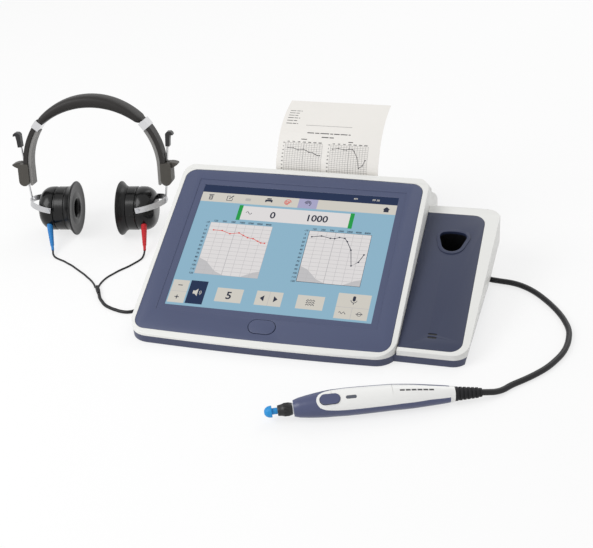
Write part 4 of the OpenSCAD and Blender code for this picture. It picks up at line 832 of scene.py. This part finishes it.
def turned(name, outline, soft=0, place=Matrix(), steps=96, closed=False):
    """A piece turned about Z from its outline of (radius, height) in mm, its corners rounded by soft."""
    mesh = bpy.data.meshes.new(name)
    edges = [(i, i + 1) for i in range(len(outline) - 1)]
    if closed:
        edges.append((len(outline) - 1, 0))
    mesh.from_pydata([(radius * mm, 0, height * mm) for radius, height in outline], edges, [])
    piece = bpy.data.objects.new(name, mesh)
    bpy.context.scene.collection.objects.link(piece)
    edit(piece)
    if soft:
        bpy.ops.mesh.bevel(offset=soft * mm, segments=3, affect="VERTICES", clamp_overlap=True)
        bpy.ops.mesh.select_all(action="SELECT")
    bpy.ops.mesh.spin(steps=steps, angle=2 * math.pi, center=(0, 0, 0), axis=(0, 0, 1))
    bpy.ops.mesh.select_all(action="SELECT")
    bpy.ops.mesh.remove_doubles(threshold=0.001 * mm)
    edit_done()
    piece.data.transform(place)
    edit(piece)
    bpy.ops.mesh.normals_make_consistent(inside=False)
    edit_done()
    return piece


cushion_outline = [(11.5, 26.4), (13, 25.9), (19, 26.9), (25, 26.6), (29.6, 25.9), (31, 26.4), (31, 27.4), (29.8, 28.6),
                   (27.6, 30.4), (25.8, 32.6), (24.9, 34.6), (24.8, 35.8), (10, 35.8), (9.6, 31), (10.2, 28)]
for side, ear, relief in ((-1, "left", relief_blue), (1, "right", relief_red)):
    place = headset @ Matrix.Scale(side, 4, (1, 0, 0)) @ Matrix.Rotation(math.pi / 2, 4, "Y")
    body = ear + "_cup"
    smooth_copy(ear + "_cup_shell", ear + "_gloss_shell", body, black_gloss)
    cushion = turned(ear + "_ear_cushion", cushion_outline, 0.7, place, closed=True)
    edit(cushion)
    bpy.ops.mesh.bisect(plane_co=(0, 0, 0.05 * mm), plane_no=(0, 0, 1), use_fill=True, clear_inner=True)
    edit_done()
    finish_piece(cushion, body, cushion_rubber, [ear + "_cushion"], 40)
    finish_node(ear + "_receiver", receiver_metal)
    smooth_copy(ear + "_strain_relief", ear + "_ribbed_relief", body, relief)

# Headset leads: a thin lead from each cup runs forward on the table to a small junction. From there the
# main cable runs along the console's left side to the back, where its spare length is coiled and tied.
left_route = [(-145.1, 147.3, 4.2), (-143, 143, 2.6), (-139, 139, 1.5), (-133, 136, 1.2), (-126, 133, 1.2),
              (-119, 129, 1.2), (-112, 125, 1.2), (-105, 120, 1.2), (-98, 115, 1.2), (-91, 110, 1.2), (-85, 105, 1.2),
              (-79, 100, 1.2), (-74, 95, 1.2), (-70, 90, 1.4), (-67.4, 86, 1.8)]
right_route = [(-40.8, 163.8, 4.2), (-40, 159, 2.6), (-40, 153, 1.5), (-42, 147, 1.2), (-45, 141, 1.2), (-48, 135, 1.2),
               (-52, 129, 1.2), (-56, 123, 1.2), (-59, 117, 1.2), (-62, 111, 1.2), (-64, 105, 1.2), (-65, 99, 1.2),
               (-65, 93, 1.4), (-64.4, 88, 1.8)]
main_route = [(-57.9, 74, 1.9), (-54, 67, 1.8), (-49, 61, 1.8), (-43, 55, 1.8), (-36, 51, 1.8), (-28, 48, 1.8),
              (-19, 46, 1.8), (-12, 47, 1.8), (-7, 51, 1.8), (-4, 59, 1.8), (-3.5, 70, 1.8), (-3.5, 85, 1.8),
              (-3.5, 110, 1.8), (-3.5, 140, 1.8), (-3.5, 170, 1.8), (-3.5, 200, 1.8), (-3.5, 225, 1.8), (-3, 245, 1.8),
              (-1, 258, 1.8), (4, 269, 1.8), (12, 278, 1.8), (21, 284, 2), (29, 286, 2.4), (36.3, 286, 2.6)]
main_tail = [(43.7, 286, 6.7), (51, 286, 6.3), (58, 286, 5.4), (64, 286, 4.8)]
junction = smooth_copy("lead_junction", "lead_junction_sleeve", "console", cable_black)
for ear, route in (("left", left_route), ("right", right_route)):
    lead = cable(ear + "_lead", route, 2.2, "console", cable_black, ["branch_leads"])
main_points = main_route[:-1] + coil(40, 314, 1, 8, 3.6, 0.5, 28) + main_tail[1:]
main_cable = cable("headset_cable_line", main_points, 3.6, "console", cable_black,
                   ["headset_cable", "headset_cable_coil"])
headset_plug = smooth_copy("headset_plug", "black_headset_plug", "console", black_plastic)
headset_tie = coil_tie("headset_coil_tie", False)

# Floor and light: a pale table top under soft studio light from the upper left, and the camera.
white_ground = bpy.data.materials.new("pale_table")
white_ground.use_nodes = True
tree = white_ground.node_tree
for node in list(tree.nodes):
    tree.nodes.remove(node)


def seen_directly(tree):
    """1 for a ray from the camera, or one that glass or gloss sends on."""
    rays = shader_node(tree, "LightPath", {})
    gloss = shader_node(tree, "Math", {0: rays["Is Camera Ray"], 1: rays["Is Glossy Ray"]}, operation="MAXIMUM")[0]
    return shader_node(tree, "Math", {0: gloss, 1: rays["Is Transmission Ray"]}, operation="MAXIMUM")[0]


top_coat = shader_node(tree, "BsdfDiffuse", {"Color": paint(247, 247, 247)})[0]
glow = shader_node(tree, "Emission", {"Color": (1, 1, 1, 1), "Strength": 1})[0]
share = shader_node(tree, "Math", {0: seen_directly(tree), 1: 0.72}, operation="MULTIPLY")[0]
surface = shader_node(tree, "MixShader", {0: share, 1: top_coat, 2: glow})[0]
shader_node(tree, "OutputMaterial", {"Surface": surface})
bpy.ops.mesh.primitive_plane_add(size=8)
table = bpy.context.object
table.name = "table_top"
table.data.materials.append(white_ground)

world = bpy.data.worlds.new("soft_studio")
world.use_nodes = True
bpy.context.scene.world = world
tree = world.node_tree
backdrop = tree.nodes["Background"]
strength = shader_node(tree, "MapRange", {0: seen_directly(tree), 3: 0.62, 4: 1.0})[0]
backdrop.inputs["Color"].default_value = (1, 1, 1, 1)
tree.links.new(strength, backdrop.inputs["Strength"])


def soft_box(name, place, aim, size, power):
    """A square soft box that faces a point."""
    bpy.ops.object.light_add(type="AREA", location=place)
    lamp = bpy.context.object
    lamp.name = name
    lamp.data.size = size
    lamp.data.energy = power
    lamp.rotation_euler = (Vector(aim) - Vector(place)).to_track_quat("-Z", "Y").to_euler()


soft_box("key_box", (-1.1, -1.0, 1.5), (0, 0, 0.05), 1.3, 22)
soft_box("back_box", (0.6, 1.4, 1.3), (0, 0, 0.05), 1.0, 6)

bpy.ops.object.camera_add()
camera = bpy.context.object
camera.matrix_world = Matrix.Translation((0.3814, -0.9862, 0.6615)) @ Matrix.Rotation(math.radians(17.046), 4, "Z") \
    @ Matrix.Rotation(math.radians(90 - 31.201), 4, "X") @ Matrix.Rotation(math.radians(-3.943), 4, "Z")
camera.data.lens = 72.34
camera.data.sensor_width = 36
camera.data.sensor_fit = "HORIZONTAL"
bpy.context.scene.camera = camera
bpy.context.scene.view_settings.view_transform = "Standard"
